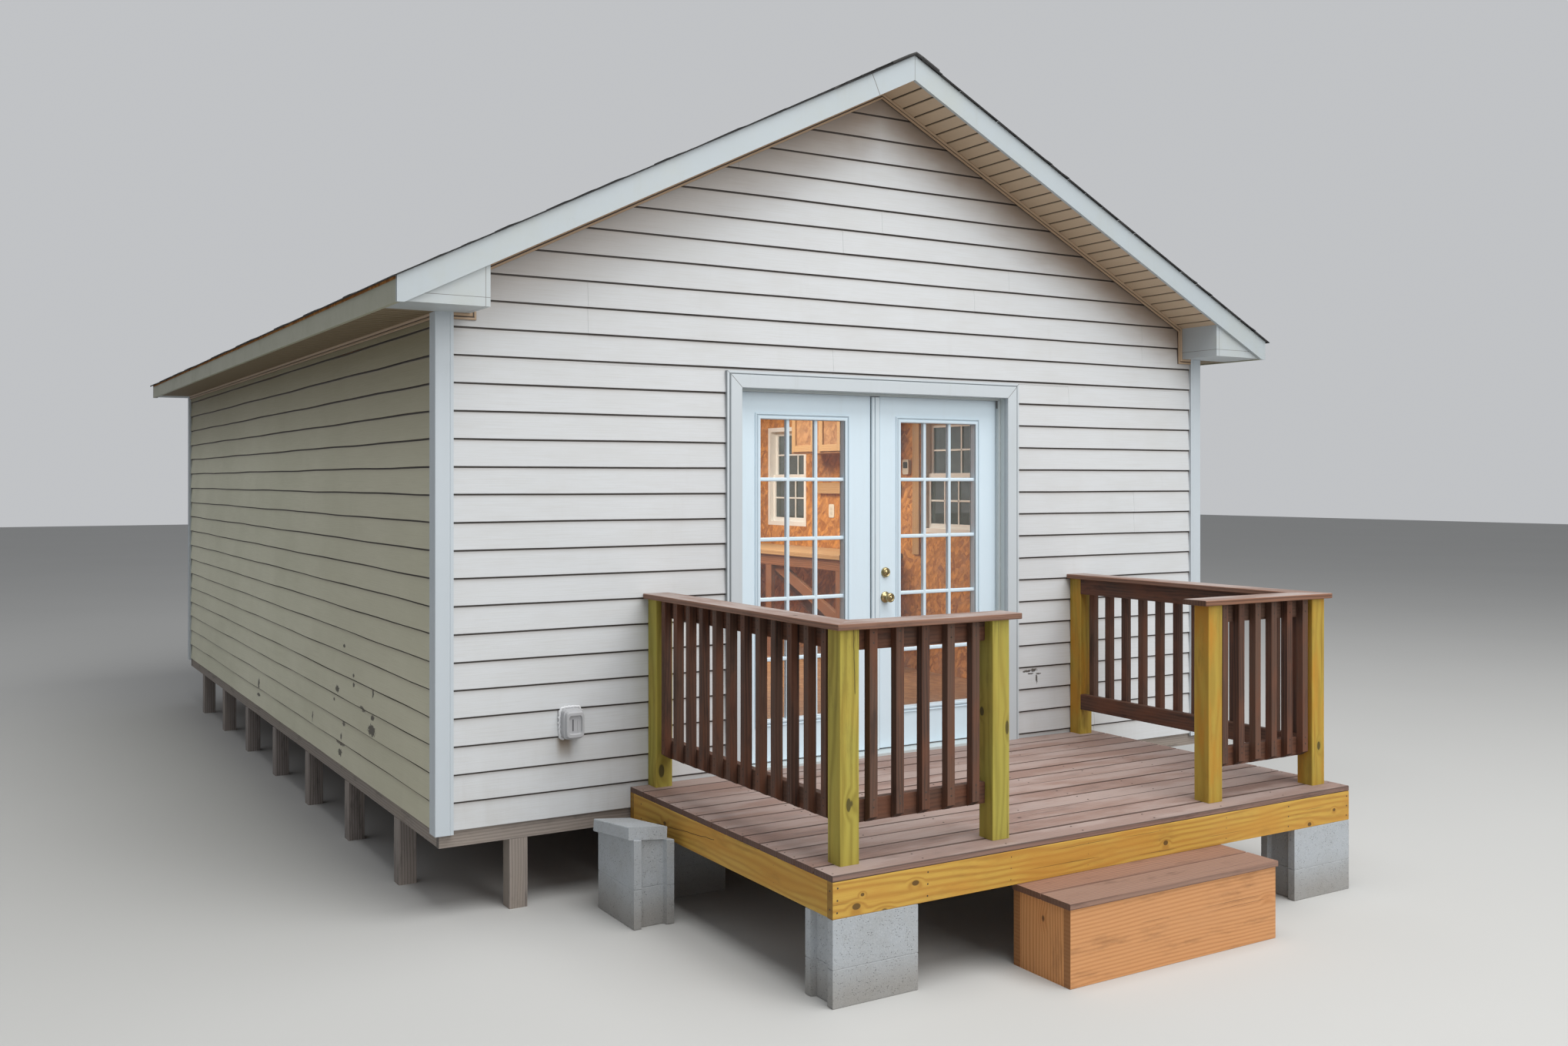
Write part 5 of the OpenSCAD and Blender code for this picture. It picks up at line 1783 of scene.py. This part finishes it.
@dataclass
class OutletCover:
    """Weatherproof outlet cover: a hooded box whose walls bulge as a rounded square."""

    finish: PaintFinish
    bead: PaintFinish
    power: int = 6
    bead_radius: float = 0.0055
    plate: float = 0.84

    def build(self) -> None:
        """Builds the hood, and runs a ragged bead of caulk over its top and down its left side.

        The hood is rings of a superellipse, each with its place out, its size and its sunk top. The
        bead's way round is the same outline, whose size follows two sines.
        """
        low, high = box("outlet_cover")
        hood, bead = MeshMaker("outlet_cover_hood"), MeshMaker("outlet_caulk")
        middle, half, thick = (low + high) / 2, (high - low) / 2, high[1] - low[1]
        angle = np.linspace(0, 2 * math.pi, 48, endpoint=False)
        across, up = rounded_square(angle, self.power)
        rings = np.array([
            (0.0, 1.0, 0.0), (0.09, 1.0, 0.0), (0.11, 0.93, 0.0), (0.12, 0.90, 0.0), (0.50, 0.87, 0.02),
            (0.55, 0.94, 0.02), (0.66, 0.94, 0.02), (0.70, 0.86, 0.03), (0.94, 0.83, 0.04), (1.0, 0.79, 0.05),
            (1.0, 0.62, 0.05), (self.plate, 0.56, 0.05),
        ])
        out, size, sink = rings.T[:, :, None]
        rise = size * up - sink * np.maximum(np.sin(angle), 0.0)
        grid = sheet(middle[0] + half[0] * size * across, high[1] - out * thick, middle[2] + half[2] * rise)
        hood.grid(grid, closed=True)
        hood.lid(grid[-1], flip=True)
        hood.lid(grid[0])
        rib = np.array([(0.0025, -0.001), (0.0025, 0.002), (-0.0025, 0.002), (-0.0025, -0.001)])
        for offset, dark in ((-0.010, 1.0), (0.014, 0.0)):
            x, y = middle[0] + offset, high[1] - self.plate * thick
            hood.carry(rib, [(x, y, middle[2] - 0.030), (x, y, middle[2] + 0.024)], (0, -1, 0), board=dark)
        hood.make("grey_plastic", self.finish, "outlet_cover")
        angle, turn = np.radians(np.linspace(25, 238, 60)), np.radians(np.arange(0, 360, 45))
        across, up = rounded_square(angle, self.power)
        rag = 0.035 * np.sin(angle * 23) + 0.03 * np.sin(angle * 41 + 1.0)
        x = middle[0] + half[0] * across * (1.0 + rag)
        z = middle[2] + half[2] * up * (1.0 + rag * 0.5)
        section = sheet(np.cos(turn), np.sin(turn)) * self.bead_radius
        bead.carry(section, sheet(x, high[1] - 0.004, z), (0, -1, 0))
        bead.make("grey_plastic", self.bead, smooth=True)


@dataclass
class Bench:
    """Workbench along the right wall: planked top, front rail, legs and slanting braces."""

    top_finish: WoodFinish
    leg_finish: WoodFinish
    face_x: float = 1.7045
    wall_x: float = 2.3142
    y0: float = 0.222
    y1: float = 3.578
    floor_z: float = 0.483
    top_z: float = 1.397
    thick: float = 0.038
    leg: float = 0.089
    legs: int = 4
    planks: int = 4
    over: float = 0.020
    joint: float = 0.0005
    brace_foot: float = 0.698
    long_brace: Pair = (0.830, 1.296)

    def _brace(self, start: Point, end: Point, facing: Point) -> Board:
        """A board from start to end whose flat face has that direction."""
        across = np.cross(unit(np.array(end) - np.array(start)), facing)
        return Board(start, end, tuple(across), self.leg, self.thick)

    def build(self) -> None:
        """Builds the top of pale boards, and the rail, legs and braces of red ones."""
        top, trestle = BoardPile("bench_top_boards"), BoardPile("bench_legs_and_braces")
        under, rail_x = self.top_z - self.thick, self.face_x + self.over
        back_x, hang = rail_x + self.thick, under - self.leg
        edges = np.linspace(self.face_x, self.wall_x, self.planks + 1)
        spans = zip(edges[:-1], edges[1:] - 0.002)
        top.lay([board_in((a, self.y0, under), (b, self.y1, self.top_z)) for a, b in spans], 5)
        board_in((rail_x, self.y0, hang), (back_x, self.y1, under - self.joint)).add(trestle, 0.2)
        step = (self.y1 - self.y0 - self.leg) / (self.legs - 1)
        for number, seed in enumerate(seeds(self.legs, 9)):
            y = self.y0 + number * step
            post = board_in((rail_x, y, self.floor_z), (back_x, y + self.leg, hang - self.joint))
            post.add(trestle, float(seed))
            middle = y + self.thick / 2
            start = (self.wall_x - 0.008, middle, self.brace_foot)
            brace = self._brace(start, (back_x + 0.004, middle, under - 0.075), (0.0, 1.0, 0.0))
            brace.add(trestle, float(seed) * 0.7)
        behind, (low, high) = rail_x + self.thick * 1.5 + self.joint, self.long_brace
        near, far = (behind, self.y0 + 0.023, low), (behind, self.y0 + step + 0.064, high)
        self._brace(near, far, (1.0, 0.0, 0.0)).add(trestle, 0.44)
        top.make("weathered_timber", self.top_finish, "workbench")
        trestle.make("weathered_timber", self.leg_finish)


@dataclass
class WallFittings:
    """Small things on the right wall that show through the glass."""

    wood: WoodFinish
    plastic: PaintFinish
    wall_x: float = 2.3145
    cupboard_x: float = 2.0145
    doors: tuple[Pair, ...] = ((0.262, 0.622), (0.650, 0.985), (1.055, 1.420))
    door_z: Pair = (2.235, 2.825)
    stile: float = 0.055
    door_thick: float = 0.016
    power: int = 8

    def woodwork(self) -> None:
        """Lays stiles and rails of the cupboard doors, the ledger board and the upright cover strip."""
        pile = BoardPile("cupboard_doors_and_wall_boards")
        x0, x1 = self.cupboard_x - self.door_thick, self.cupboard_x + 0.0005
        z0, z1 = self.door_z
        w = self.stile
        boxes = []
        for y0, y1 in self.doors:
            boxes += [((x0, y0, z0), (x1, y0 + w, z1)), ((x0, y1 - w, z0), (x1, y1, z1))]
            boxes += [((x0, y0 + w, z), (x1, y1 - w, z + w)) for z in (z0, z1 - w)]
        boxes.append(((self.wall_x - 0.038, 0.235, 1.875), (self.wall_x, 1.446, 1.970)))
        boxes.append(((self.wall_x - 0.015, -0.021, 1.399), (self.wall_x, 0.067, 2.900)))
        pile.lay([board_in(low, high, 0.002) for low, high in boxes], 2)
        pile.make("weathered_timber", self.wood)

    def covers(self) -> None:
        """Builds outlet plate and thermostat: boxes with an eased front and a superellipse as outline.

        A row is middle along y and z, half width and height, how far it stands out, and its dark mark.
        """
        maker = MeshMaker("outlet_plate_and_thermostat")
        across, up = rounded_square(np.linspace(0, 2 * math.pi, 32, endpoint=False), self.power)
        ease = np.array([0.0, 0.0, 0.0006, 0.0020])[:, None]
        for y, z, half, rise, depth, dark in (
            (1.2635, 1.723, 0.0425, 0.059, 0.006, 0.0),
            (0.143, 2.0975, 0.041, 0.0605, 0.028, 0.0),
            (1.2635, 1.7035, 0.0165, 0.014, 0.0075, 0.25),
            (1.2635, 1.7425, 0.0165, 0.014, 0.0075, 0.25),
            (0.143, 2.112, 0.030, 0.026, 0.0290, 1.0),
        ):
            out = np.array([-0.002, depth - 0.0015, depth - 0.0004, depth])[:, None]
            grid = sheet(self.wall_x - out, y + (half - ease) * across, z + (rise - ease) * up)
            maker.grid(grid, closed=True, flip=True, board=dark)
            maker.lid(grid[-1], flip=True, board=dark)
            maker.lid(grid[0], board=dark)
        maker.make("white_trim", self.plastic)


def wear(material: Material, *nodes: str) -> None:
    """Gives CAD nodes that keep their shape a material.

    Args:
        material: the material.
        nodes: the nodes.
    """
    for node in nodes:
        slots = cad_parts[node].data.materials
        slots.clear()
        slots.append(material)
        LOG.info("%s: %s", node, material.name)


# Stage


@dataclass
class Studio:
    """Camera, lights and floor."""

    eye: Point = (-4.3385, -8.914, 1.981)
    turn: float = 31.2
    lens: float = 31.891
    shift: float = -0.0265
    sky: Colour = (0.95, 0.97, 1.0)
    glow: float = 0.35
    backdrop: float = 0.56
    reach: float = 60.0

    def _stand(self, name: str, data: ID) -> Object:
        """Links an object with that data into the scene."""
        thing = bpy.data.objects.new(name, data)
        bpy.context.scene.collection.objects.link(thing)
        return thing

    def camera(self) -> None:
        """Stands a level camera where the photograph was taken."""
        data = bpy.data.cameras.new("camera")
        data.lens = self.lens
        data.sensor_width = 36.0
        data.sensor_fit = "HORIZONTAL"
        data.shift_y = self.shift
        data.clip_end = 200.0
        camera = self._stand("camera", data)
        camera.location = self.eye
        camera.rotation_euler = (math.radians(90), 0.0, -math.radians(self.turn))
        bpy.context.scene.camera = camera

    def lights(self) -> None:
        """Adds square soft lights: name, place, point that it faces, side, watts and colour of each."""
        for name, at, aim, size, power, tone in (
            ("key", (2.5, -16.5, 7.5), (0.0, -2.5, 1.4), 9.0, 900.0, (1.0, 0.99, 0.97)),
            ("overhead", (0.5, -7.0, 14.0), (0.0, -2.0, 1.5), 12.0, 2050.0, (1.0, 1.0, 0.99)),
            ("room", (0.4, 1.2, 3.0), (0.4, 1.2, 0.5), 2.0, 125.0, (1.0, 0.95, 0.86)),
        ):
            data = bpy.data.lights.new(name, "AREA")
            data.size, data.energy, data.color = size, power, tone
            lamp = self._stand(name, data)
            lamp.location = at
            facing = -unit(np.array(aim) - np.array(at))
            lamp.rotation_euler = (math.acos(facing[2]), 0.0, math.atan2(facing[0], -facing[1]))

    def floor(self) -> None:
        """Lays a plain pale floor under the cabin."""
        mesh = bpy.data.meshes.new("studio_floor")
        corners = [(x * self.reach, y * self.reach, 0) for x, y in ((-1, -1), (1, -1), (1, 1), (-1, 1))]
        mesh.from_pydata(corners, [], [(0, 1, 2, 3)])
        s = Shader("studio_floor")
        x, y, _ = s.place()
        tone = s.noise(s.vector(x, y), 0.3, 2.0)
        mesh.materials.append(s.done(s.mix(tone, (0.49, 0.49, 0.48), (0.52, 0.52, 0.51)), 0.8))
        self._stand("studio_floor", mesh)

    def surroundings(self) -> None:
        """Lights the scene from all sides, a little less than the backdrop that the camera sees."""
        world = bpy.data.worlds.new("studio")
        world.use_nodes = True
        nodes, links = world.node_tree.nodes, world.node_tree.links
        sky, backdrop = nodes["Background"], nodes.new("ShaderNodeBackground")
        for part, strength in ((sky, self.glow), (backdrop, self.backdrop)):
            part.inputs["Color"].default_value = (*self.sky, 1.0)
            part.inputs["Strength"].default_value = strength
        choose, path = nodes.new("ShaderNodeMixShader"), nodes.new("ShaderNodeLightPath")
        links.new(path.outputs["Is Camera Ray"], choose.inputs[0])
        links.new(sky.outputs[0], choose.inputs[1])
        links.new(backdrop.outputs[0], choose.inputs[2])
        links.new(choose.outputs[0], nodes["World Output"].inputs["Surface"])
        bpy.context.scene.world = world

    def build(self) -> None:
        """Sets the camera, the floor, the pale surroundings and the lights."""
        self.camera()
        self.floor()
        self.surroundings()
        bpy.context.scene.view_settings.view_transform = "Standard"
        self.lights()


# Finishes of the pieces

SCRAWL = (
    Blot(1.035, 0.881, 0.034, 0.006), Blot(1.085, 0.884, 0.036, 0.010), Blot(1.058, 0.866, 0.020, 0.005),
    Blot(1.105, 0.835, 0.007, 0.030), Blot(1.120, 0.862, 0.020, 0.005),
)
SPLASHES = (
    Blot(-1.07, 1.070, 0.028, 0.010), Blot(-1.28, 0.930, 0.018, 0.010), Blot(-1.27, 0.880, 0.026, 0.012),
    Blot(-0.92, 0.815, 0.046, 0.020), Blot(-0.84, 0.745, 0.020, 0.010), Blot(-1.66, 0.885, 0.020, 0.030),
    Blot(-1.47, 0.775, 0.045, 0.018), Blot(-1.65, 0.755, 0.030, 0.018), Blot(-1.65, 0.690, 0.075, 0.032),
    Blot(-1.05, 0.640, 0.032, 0.018), Blot(-1.01, 0.560, 0.016, 0.022), Blot(-0.97, 0.517, 0.110, 0.012),
    Blot(-0.97, 0.465, 0.040, 0.022), Blot(1.36, 0.560, 0.030, 0.040), Blot(1.38, 0.480, 0.060, 0.012),
    Blot(-0.30, 0.575, 0.015, 0.030),
)
FRONT_SIDING = SidingFinish(
    "siding_front_face", soffit_shade_from=4.079, drips=(Drip(-1.825, 0.770, 0.040, 0.130),), blots=SCRAWL
)
# painted light: the left wall's olive-beige colours are the front's vinyl tinted by the green light that
# falls on it, with some algae
LEFT_SIDING = SidingFinish(
    "siding_left_face", (0.76, 0.745, 0.585), (0.68, 0.66, 0.51), 0.05, algae=0.25, blots=SPLASHES,
    along_y=True,
)

TRIM = PaintFinish("bluish_white_trim", (0.545, 0.60, 0.645), rough=0.45, dents=0.1, soil_share=0.12)
# painted shade: the rake soffits are the off-white vinyl browned as in shade, their grooves painted
# near-black as shadow
SOFFIT = PaintFinish(
    "shaded_soffit_paint", (0.53, 0.405, 0.28), rough=0.5, dents=0.1, groove=(0.006, 0.0045, 0.0035)
)
# painted shade: the eave soffits are a darker brown copy for the shade under the eaves, with soil streaks,
# their grooves painted dark as shadow
EAVE_SOFFIT = PaintFinish(
    "shaded_and_soiled_eave_soffit", (0.20, 0.145, 0.08), (0.14, 0.12, 0.07), rough=0.6, dents=0.1,
    groove=(0.02, 0.015, 0.01),
)
# painted shade: the channels are the trim browned as in shade, their edges and valley painted dark
CHANNEL = PaintFinish("shaded_channel_paint", (0.44, 0.31, 0.20), rough=0.45, dents=0.05, groove=(0.06, 0.04, 0.03))
FASCIA = PaintFinish(
    "coated_fascia", (0.435, 0.485, 0.515), dents=0.5, soil_share=0.2, specks=0.1,
    green=(0.43, 0.455, 0.42), seams=(
        Seam((1.0, 0.0, 0.0), 0.0),
        Seam((0.899, 0.0, 0.438), 1.537, ((0, -0.35, -0.15), (1, -3.2, -3.0)), 0.0014, 0.006),
    ),
)
RETURNS = PaintFinish(
    "coated_returns", (0.46, 0.505, 0.53), dents=0.5, soil_share=0.2,
    green=(0.44, 0.46, 0.41), seams=(
        Seam((0.0, 0.0, 1.0), 2.785),
        *(Seam((1.0, 0.0, 0.0), sign * 2.31, ((2, 2.7, 3.0),)) for sign in (-1.0, 1.0)),
    ),
)
EAVE = PaintFinish("coated_eave_metal", (0.42, 0.42, 0.32), green=(0.27, 0.28, 0.17))

# groove tone: painted shade in the casing's groove and along its edges; the seams are its mitre joints
CASING = PaintFinish(
    "door_casing_paint", (0.57, 0.62, 0.655), dents=0.05, soil_share=0.15,
    groove=(0.26, 0.29, 0.31), seams=(
        Seam((0.7071, 0.0, 0.7071), 1.1208, ((0, -0.957, -0.872), (2, 2.457, 2.542)), 0.0010),
        Seam((-0.7071, 0.0, 0.7071), 1.1208, ((0, 0.872, 0.957), (2, 2.457, 2.542)), 0.0010),
    ),
)
# groove tone: painted shade in the glazing mouldings' cove and edges
LEAF = PaintFinish(
    "pale_blue_door_paint", (0.70, 0.83, 0.92), rough=0.35, dents=0.08, soil_share=0.08,
    groove=(0.33, 0.41, 0.47),
)
# groove tone: painted shadow and shade on the astragal's edges, valley and back block
BAR = PaintFinish("astragal_paint", (0.68, 0.78, 0.84), dents=0.05, groove=(0.17, 0.20, 0.22))
BRASS = MetalFinish("tarnished_brass", (0.52, 0.42, 0.22), (0.10, 0.08, 0.045))
NAIL_STEEL = MetalFinish("dull_nail_steel", (0.10, 0.085, 0.075), (0.05, 0.03, 0.02), 0.5)
WINDOW = PaintFinish("window_white", (0.78, 0.77, 0.72), dents=0.05)
DUSKY_GLASS = GlassFinish("dusky_window_glass", 0.06, 0.66, (0.045, 0.055, 0.04))

WEATHERED = WoodFinish(
    "weathered_timber", (0.33, 0.29, 0.27), (0.17, 0.145, 0.135), tint_share=0.5, soil=0.5, rings=70.0
)
RIM_KNOTS = (
    Knot((-1.100, -4.555, 0.419), (0.018, 0.06, 0.011)), Knot((-1.378, -4.555, 0.371), (0.020, 0.06, 0.013)),
    Knot((-1.350, -4.555, 0.412), (0.009, 0.06, 0.007)), Knot((0.265, -4.555, 0.391), (0.015, 0.06, 0.011)),
    Knot((1.225, -4.555, 0.350), (0.014, 0.06, 0.010)), Knot((1.405, -4.555, 0.397), (0.010, 0.06, 0.008)),
)
GOLDEN = WoodFinish(
    "golden_pine", (0.60, 0.37, 0.062), (0.40, 0.19, 0.024), (0.56, 0.33, 0.08), rings=38.0, swirl=34.0,
    soil=0.2, knots=0.35, spread=0.2, edge_share=0.1, blush=(0.52, 0.25, 0.035), placed=RIM_KNOTS,
    checks=(Seam((0.0, 0.0846, 0.9964), 0.124, ((0, -1.6, -1.46), (1, -3.62, -3.05)), 0.0011, 0.012),),
)
POST_KNOTS = (
    Knot((-1.353, -4.465, 0.734), (0.011, 0.05, 0.028)), Knot((1.408, -4.465, 0.691), (0.012, 0.05, 0.022)),
    Knot((-0.562, -4.465, 0.961), (0.010, 0.05, 0.030)), Knot((-0.639, -4.394, 1.025), (0.040, 0.014, 0.020)),
    Knot((-1.362, -2.864, 0.580), (0.016, 0.05, 0.034)),
)
GREEN = WoodFinish(
    "green_treated_pine", (0.46, 0.375, 0.060), (0.25, 0.185, 0.018), (0.33, 0.31, 0.06), rings=24.0,
    swirl=34.0, figure=0.45, tint_share=0.45, knots=0.4, edge_share=0.15,
    blush=(0.46, 0.225, 0.018), blush_right=True, placed=POST_KNOTS,
    checks=(Seam((1.0, 0.0, 0.03), -1.288, ((1, -4.6, -4.45), (2, 1.16, 1.41)), 0.0009, 0.010),),
)
DARK = WoodFinish(
    "dark_stained_timber", (0.100, 0.042, 0.024), (0.026, 0.011, 0.007), (0.13, 0.07, 0.045), soil=0.5,
    knots=0.2, spread=0.8, blush=(0.155, 0.052, 0.022),
)
# The caps' and deck boards' upward-face tone is sun-greyed wood and painted light from above.
CAP = WoodFinish(
    "weathered_cap_timber", (0.25, 0.115, 0.065), (0.10, 0.042, 0.024), (0.24, 0.145, 0.11), tint_share=0.6,
    soil=0.4, weathered_top_and_light=(0.42, 0.365, 0.345), weathered_top_and_light_share=0.85,
)
# The deck boards' and step boards' dark edge tone is painted shade in the gaps between boards.
PLANKS = WoodFinish(
    "stained_deck_boards", (0.28, 0.145, 0.10), (0.13, 0.060, 0.042), (0.24, 0.17, 0.145), tint_share=0.6,
    soil=0.5, edge_tone=(0.045, 0.026, 0.02), edge_share=0.75, knots=0.3, weathered_top_and_light=(0.43, 0.34, 0.31),
    weathered_top_and_light_share=0.62,
)
RED = WoodFinish(
    "reddish_step_boards", (0.33, 0.165, 0.105), (0.16, 0.066, 0.038), (0.28, 0.19, 0.15), soil=0.4,
    knots=0.3, spread=0.7, edge_tone=(0.12, 0.055, 0.035), edge_share=0.4,
)
ORANGE = WoodFinish(
    "orange_step_sides", (0.70, 0.34, 0.13), (0.46, 0.18, 0.05), (0.54, 0.28, 0.13)
)
PINE = WoodFinish("pale_bench_pine", (0.52, 0.33, 0.15), (0.36, 0.19, 0.07), (0.44, 0.25, 0.10), soil=0.15)
RUSSET = WoodFinish("russet_bench_legs", (0.33, 0.13, 0.05), (0.17, 0.06, 0.02), (0.25, 0.10, 0.04))

GREY = PaintFinish(
    "grey_outlet_plastic", (0.45, 0.455, 0.47), rough=0.5, specks=0.6, groove=(0.10, 0.10, 0.11)
)
CAULK = PaintFinish("aged_caulk", (0.74, 0.75, 0.77), rough=0.6, dents=0.8, specks=0.8)
IVORY = PaintFinish("ivory_plastic", (0.70, 0.66, 0.55), dents=0.02, groove=(0.04, 0.045, 0.04))
STRAND = StrandFinish("strand_board", (0.70, 0.31, 0.065), (0.32, 0.10, 0.014))
FLOOR = StrandFinish("floor_board", (0.48, 0.25, 0.10), (0.28, 0.12, 0.045))


def build_walls(shell: Shell) -> None:
    """Builds the siding round the doorway and the windows, and the posts at the corners.

    Args:
        shell: the cabin's shared sizes.
    """
    door_hole = (-0.957, 0.957, 0.30, 2.542)
    middle = (shell.front_y + shell.back_y) / 2
    windows = [(low[1] - middle, high[1] - middle, low[2], high[2]) for low, high in solids("window_trims")]
    LapSiding(shell, Side.FRONT, FRONT_SIDING, [door_hole]).build()
    LapSiding(shell, Side.BACK, SidingFinish("siding_back_face")).build()
    LapSiding(shell, Side.LEFT, LEFT_SIDING, ripple=0.0012, sway=0.0016).build()
    LapSiding(shell, Side.RIGHT, SidingFinish("siding_right_face", along_y=True), windows).build()
    CornerPosts(shell, TRIM).build()


def build_roof(shell: Shell) -> None:
    """Builds the shingles with their ridge caps, the soffits and their channels.

    Args:
        shell: the cabin's shared sizes.
    """
    shingles = Shingles(shell, ShingleFinish())
    shingles.field(-1)
    shingles.field(1)
    shingles.caps()
    Soffits(shell, SOFFIT, EAVE_SOFFIT).build()
    SoffitChannels(shell, CHANNEL).build()


def build_doorway(shell: Shell) -> None:
    """Builds the casing, both leaves, the astragal and the locks.

    Args:
        shell: the cabin's shared sizes.
    """
    DoorSurround(shell, CASING).build()
    DoorLeaf(Side.LEFT, -0.448, LEAF).build()
    DoorLeaf(Side.RIGHT, 0.448, LEAF).build()
    Astragal(BAR).build()
    Locks(BRASS).build()


def build_deck() -> None:
    """Builds the timber under house and deck, the railings, the step and the blocks."""
    Timber("house_posts", "weathered_timber", WEATHERED, 0.004).build()
    Timber("floor_frame", "weathered_timber", WEATHERED).build()
    Timber("deck_frame", "new_pine", GOLDEN).build()
    Timber("deck_boards", "deck_wood", PLANKS, 0.004).build()
    Timber("deck_posts", "green_pine", GREEN, 0.004).build()
    Timber("step_treads", "red_timber", RED, 0.004).build()
    panels = (
        RailPanel("left_side_rail", 12, 0.032, (0, -1), (-1, 0)),
        RailPanel("left_front_rail", 5, 0.058, (1, 0), (0, -1)),
        RailPanel("right_side_rail", 12, 0.032, (0, -1), (1, 0)),
        RailPanel("right_front_rail", 6, 0.016, (1, 0), (0, -1)),
    )
    for panel in panels:
        Timber(panel.node, "dark_timber", DARK).build(panel.boards())
    RailCaps(CAP).build()
    Nails(NAIL_STEEL).build(panels)
    Timber("step_box", "red_timber", ORANGE).build(BoxStep().boards())
    Blocks(ConcreteFinish()).build()


def build_fittings() -> None:
    """Builds the outlet cover, the workbench and the small things on the right wall."""
    OutletCover(GREY, CAULK).build()
    Bench(PINE, RUSSET).build()
    fittings = WallFittings(PINE, IVORY)
    fittings.woodwork()
    fittings.covers()


def finish_nodes() -> None:
    """Gives the CAD nodes that keep their shape their materials, and the windows their bars."""
    walls = ("left_wall", "right_wall", "back_wall", "front_wall_left", "front_wall_right", "front_gable")
    wear(STRAND.material(), *walls, "roof_left", "roof_right")
    wear(FLOOR.material(), "floor", "wall_cupboards")
    wear(FASCIA.material(), "rake_fascias")
    wear(RETURNS.material(), "eave_returns")
    wear(EAVE.material(), "eave_fascias")
    weatherstrip = Seam((0.0, 1.0, 0.0), box("door_leaf_left")[0][1] - 0.004, ((2, 2.40, 2.4575),), 0.007)
    # painted shade: the jamb and sill take a darker, greyer copy of the leaves' paint
    jamb = replace(LEAF, name="shaded_door_jamb_paint", colour=(0.55, 0.61, 0.62), seams=(weatherstrip,))
    wear(jamb.material(), "door_frame", "door_sill")
    wear(WINDOW.material(), "window_frames", "window_sashes")
    WindowBars(replace(WINDOW, name="window_bar_white")).build()
    wear(CASING.material(), "window_trims")
    wear(GlassFinish("clear_glass").material(), "door_glass_left", "door_glass_right")
    wear(DUSKY_GLASS.material(), "window_glass")
    wear(BRASS.material(), "jamb_hinges", "left_leaf_hinges", "right_leaf_hinges")


def main() -> None:
    """Builds the cabin piece by piece, then the studio."""
    logging.basicConfig(level=logging.INFO, format="%(name)s %(message)s")
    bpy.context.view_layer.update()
    shell = Shell()
    build_walls(shell)
    build_roof(shell)
    build_doorway(shell)
    build_deck()
    build_fittings()
    finish_nodes()
    Studio().build()


if __name__ == "__main__":
    main()
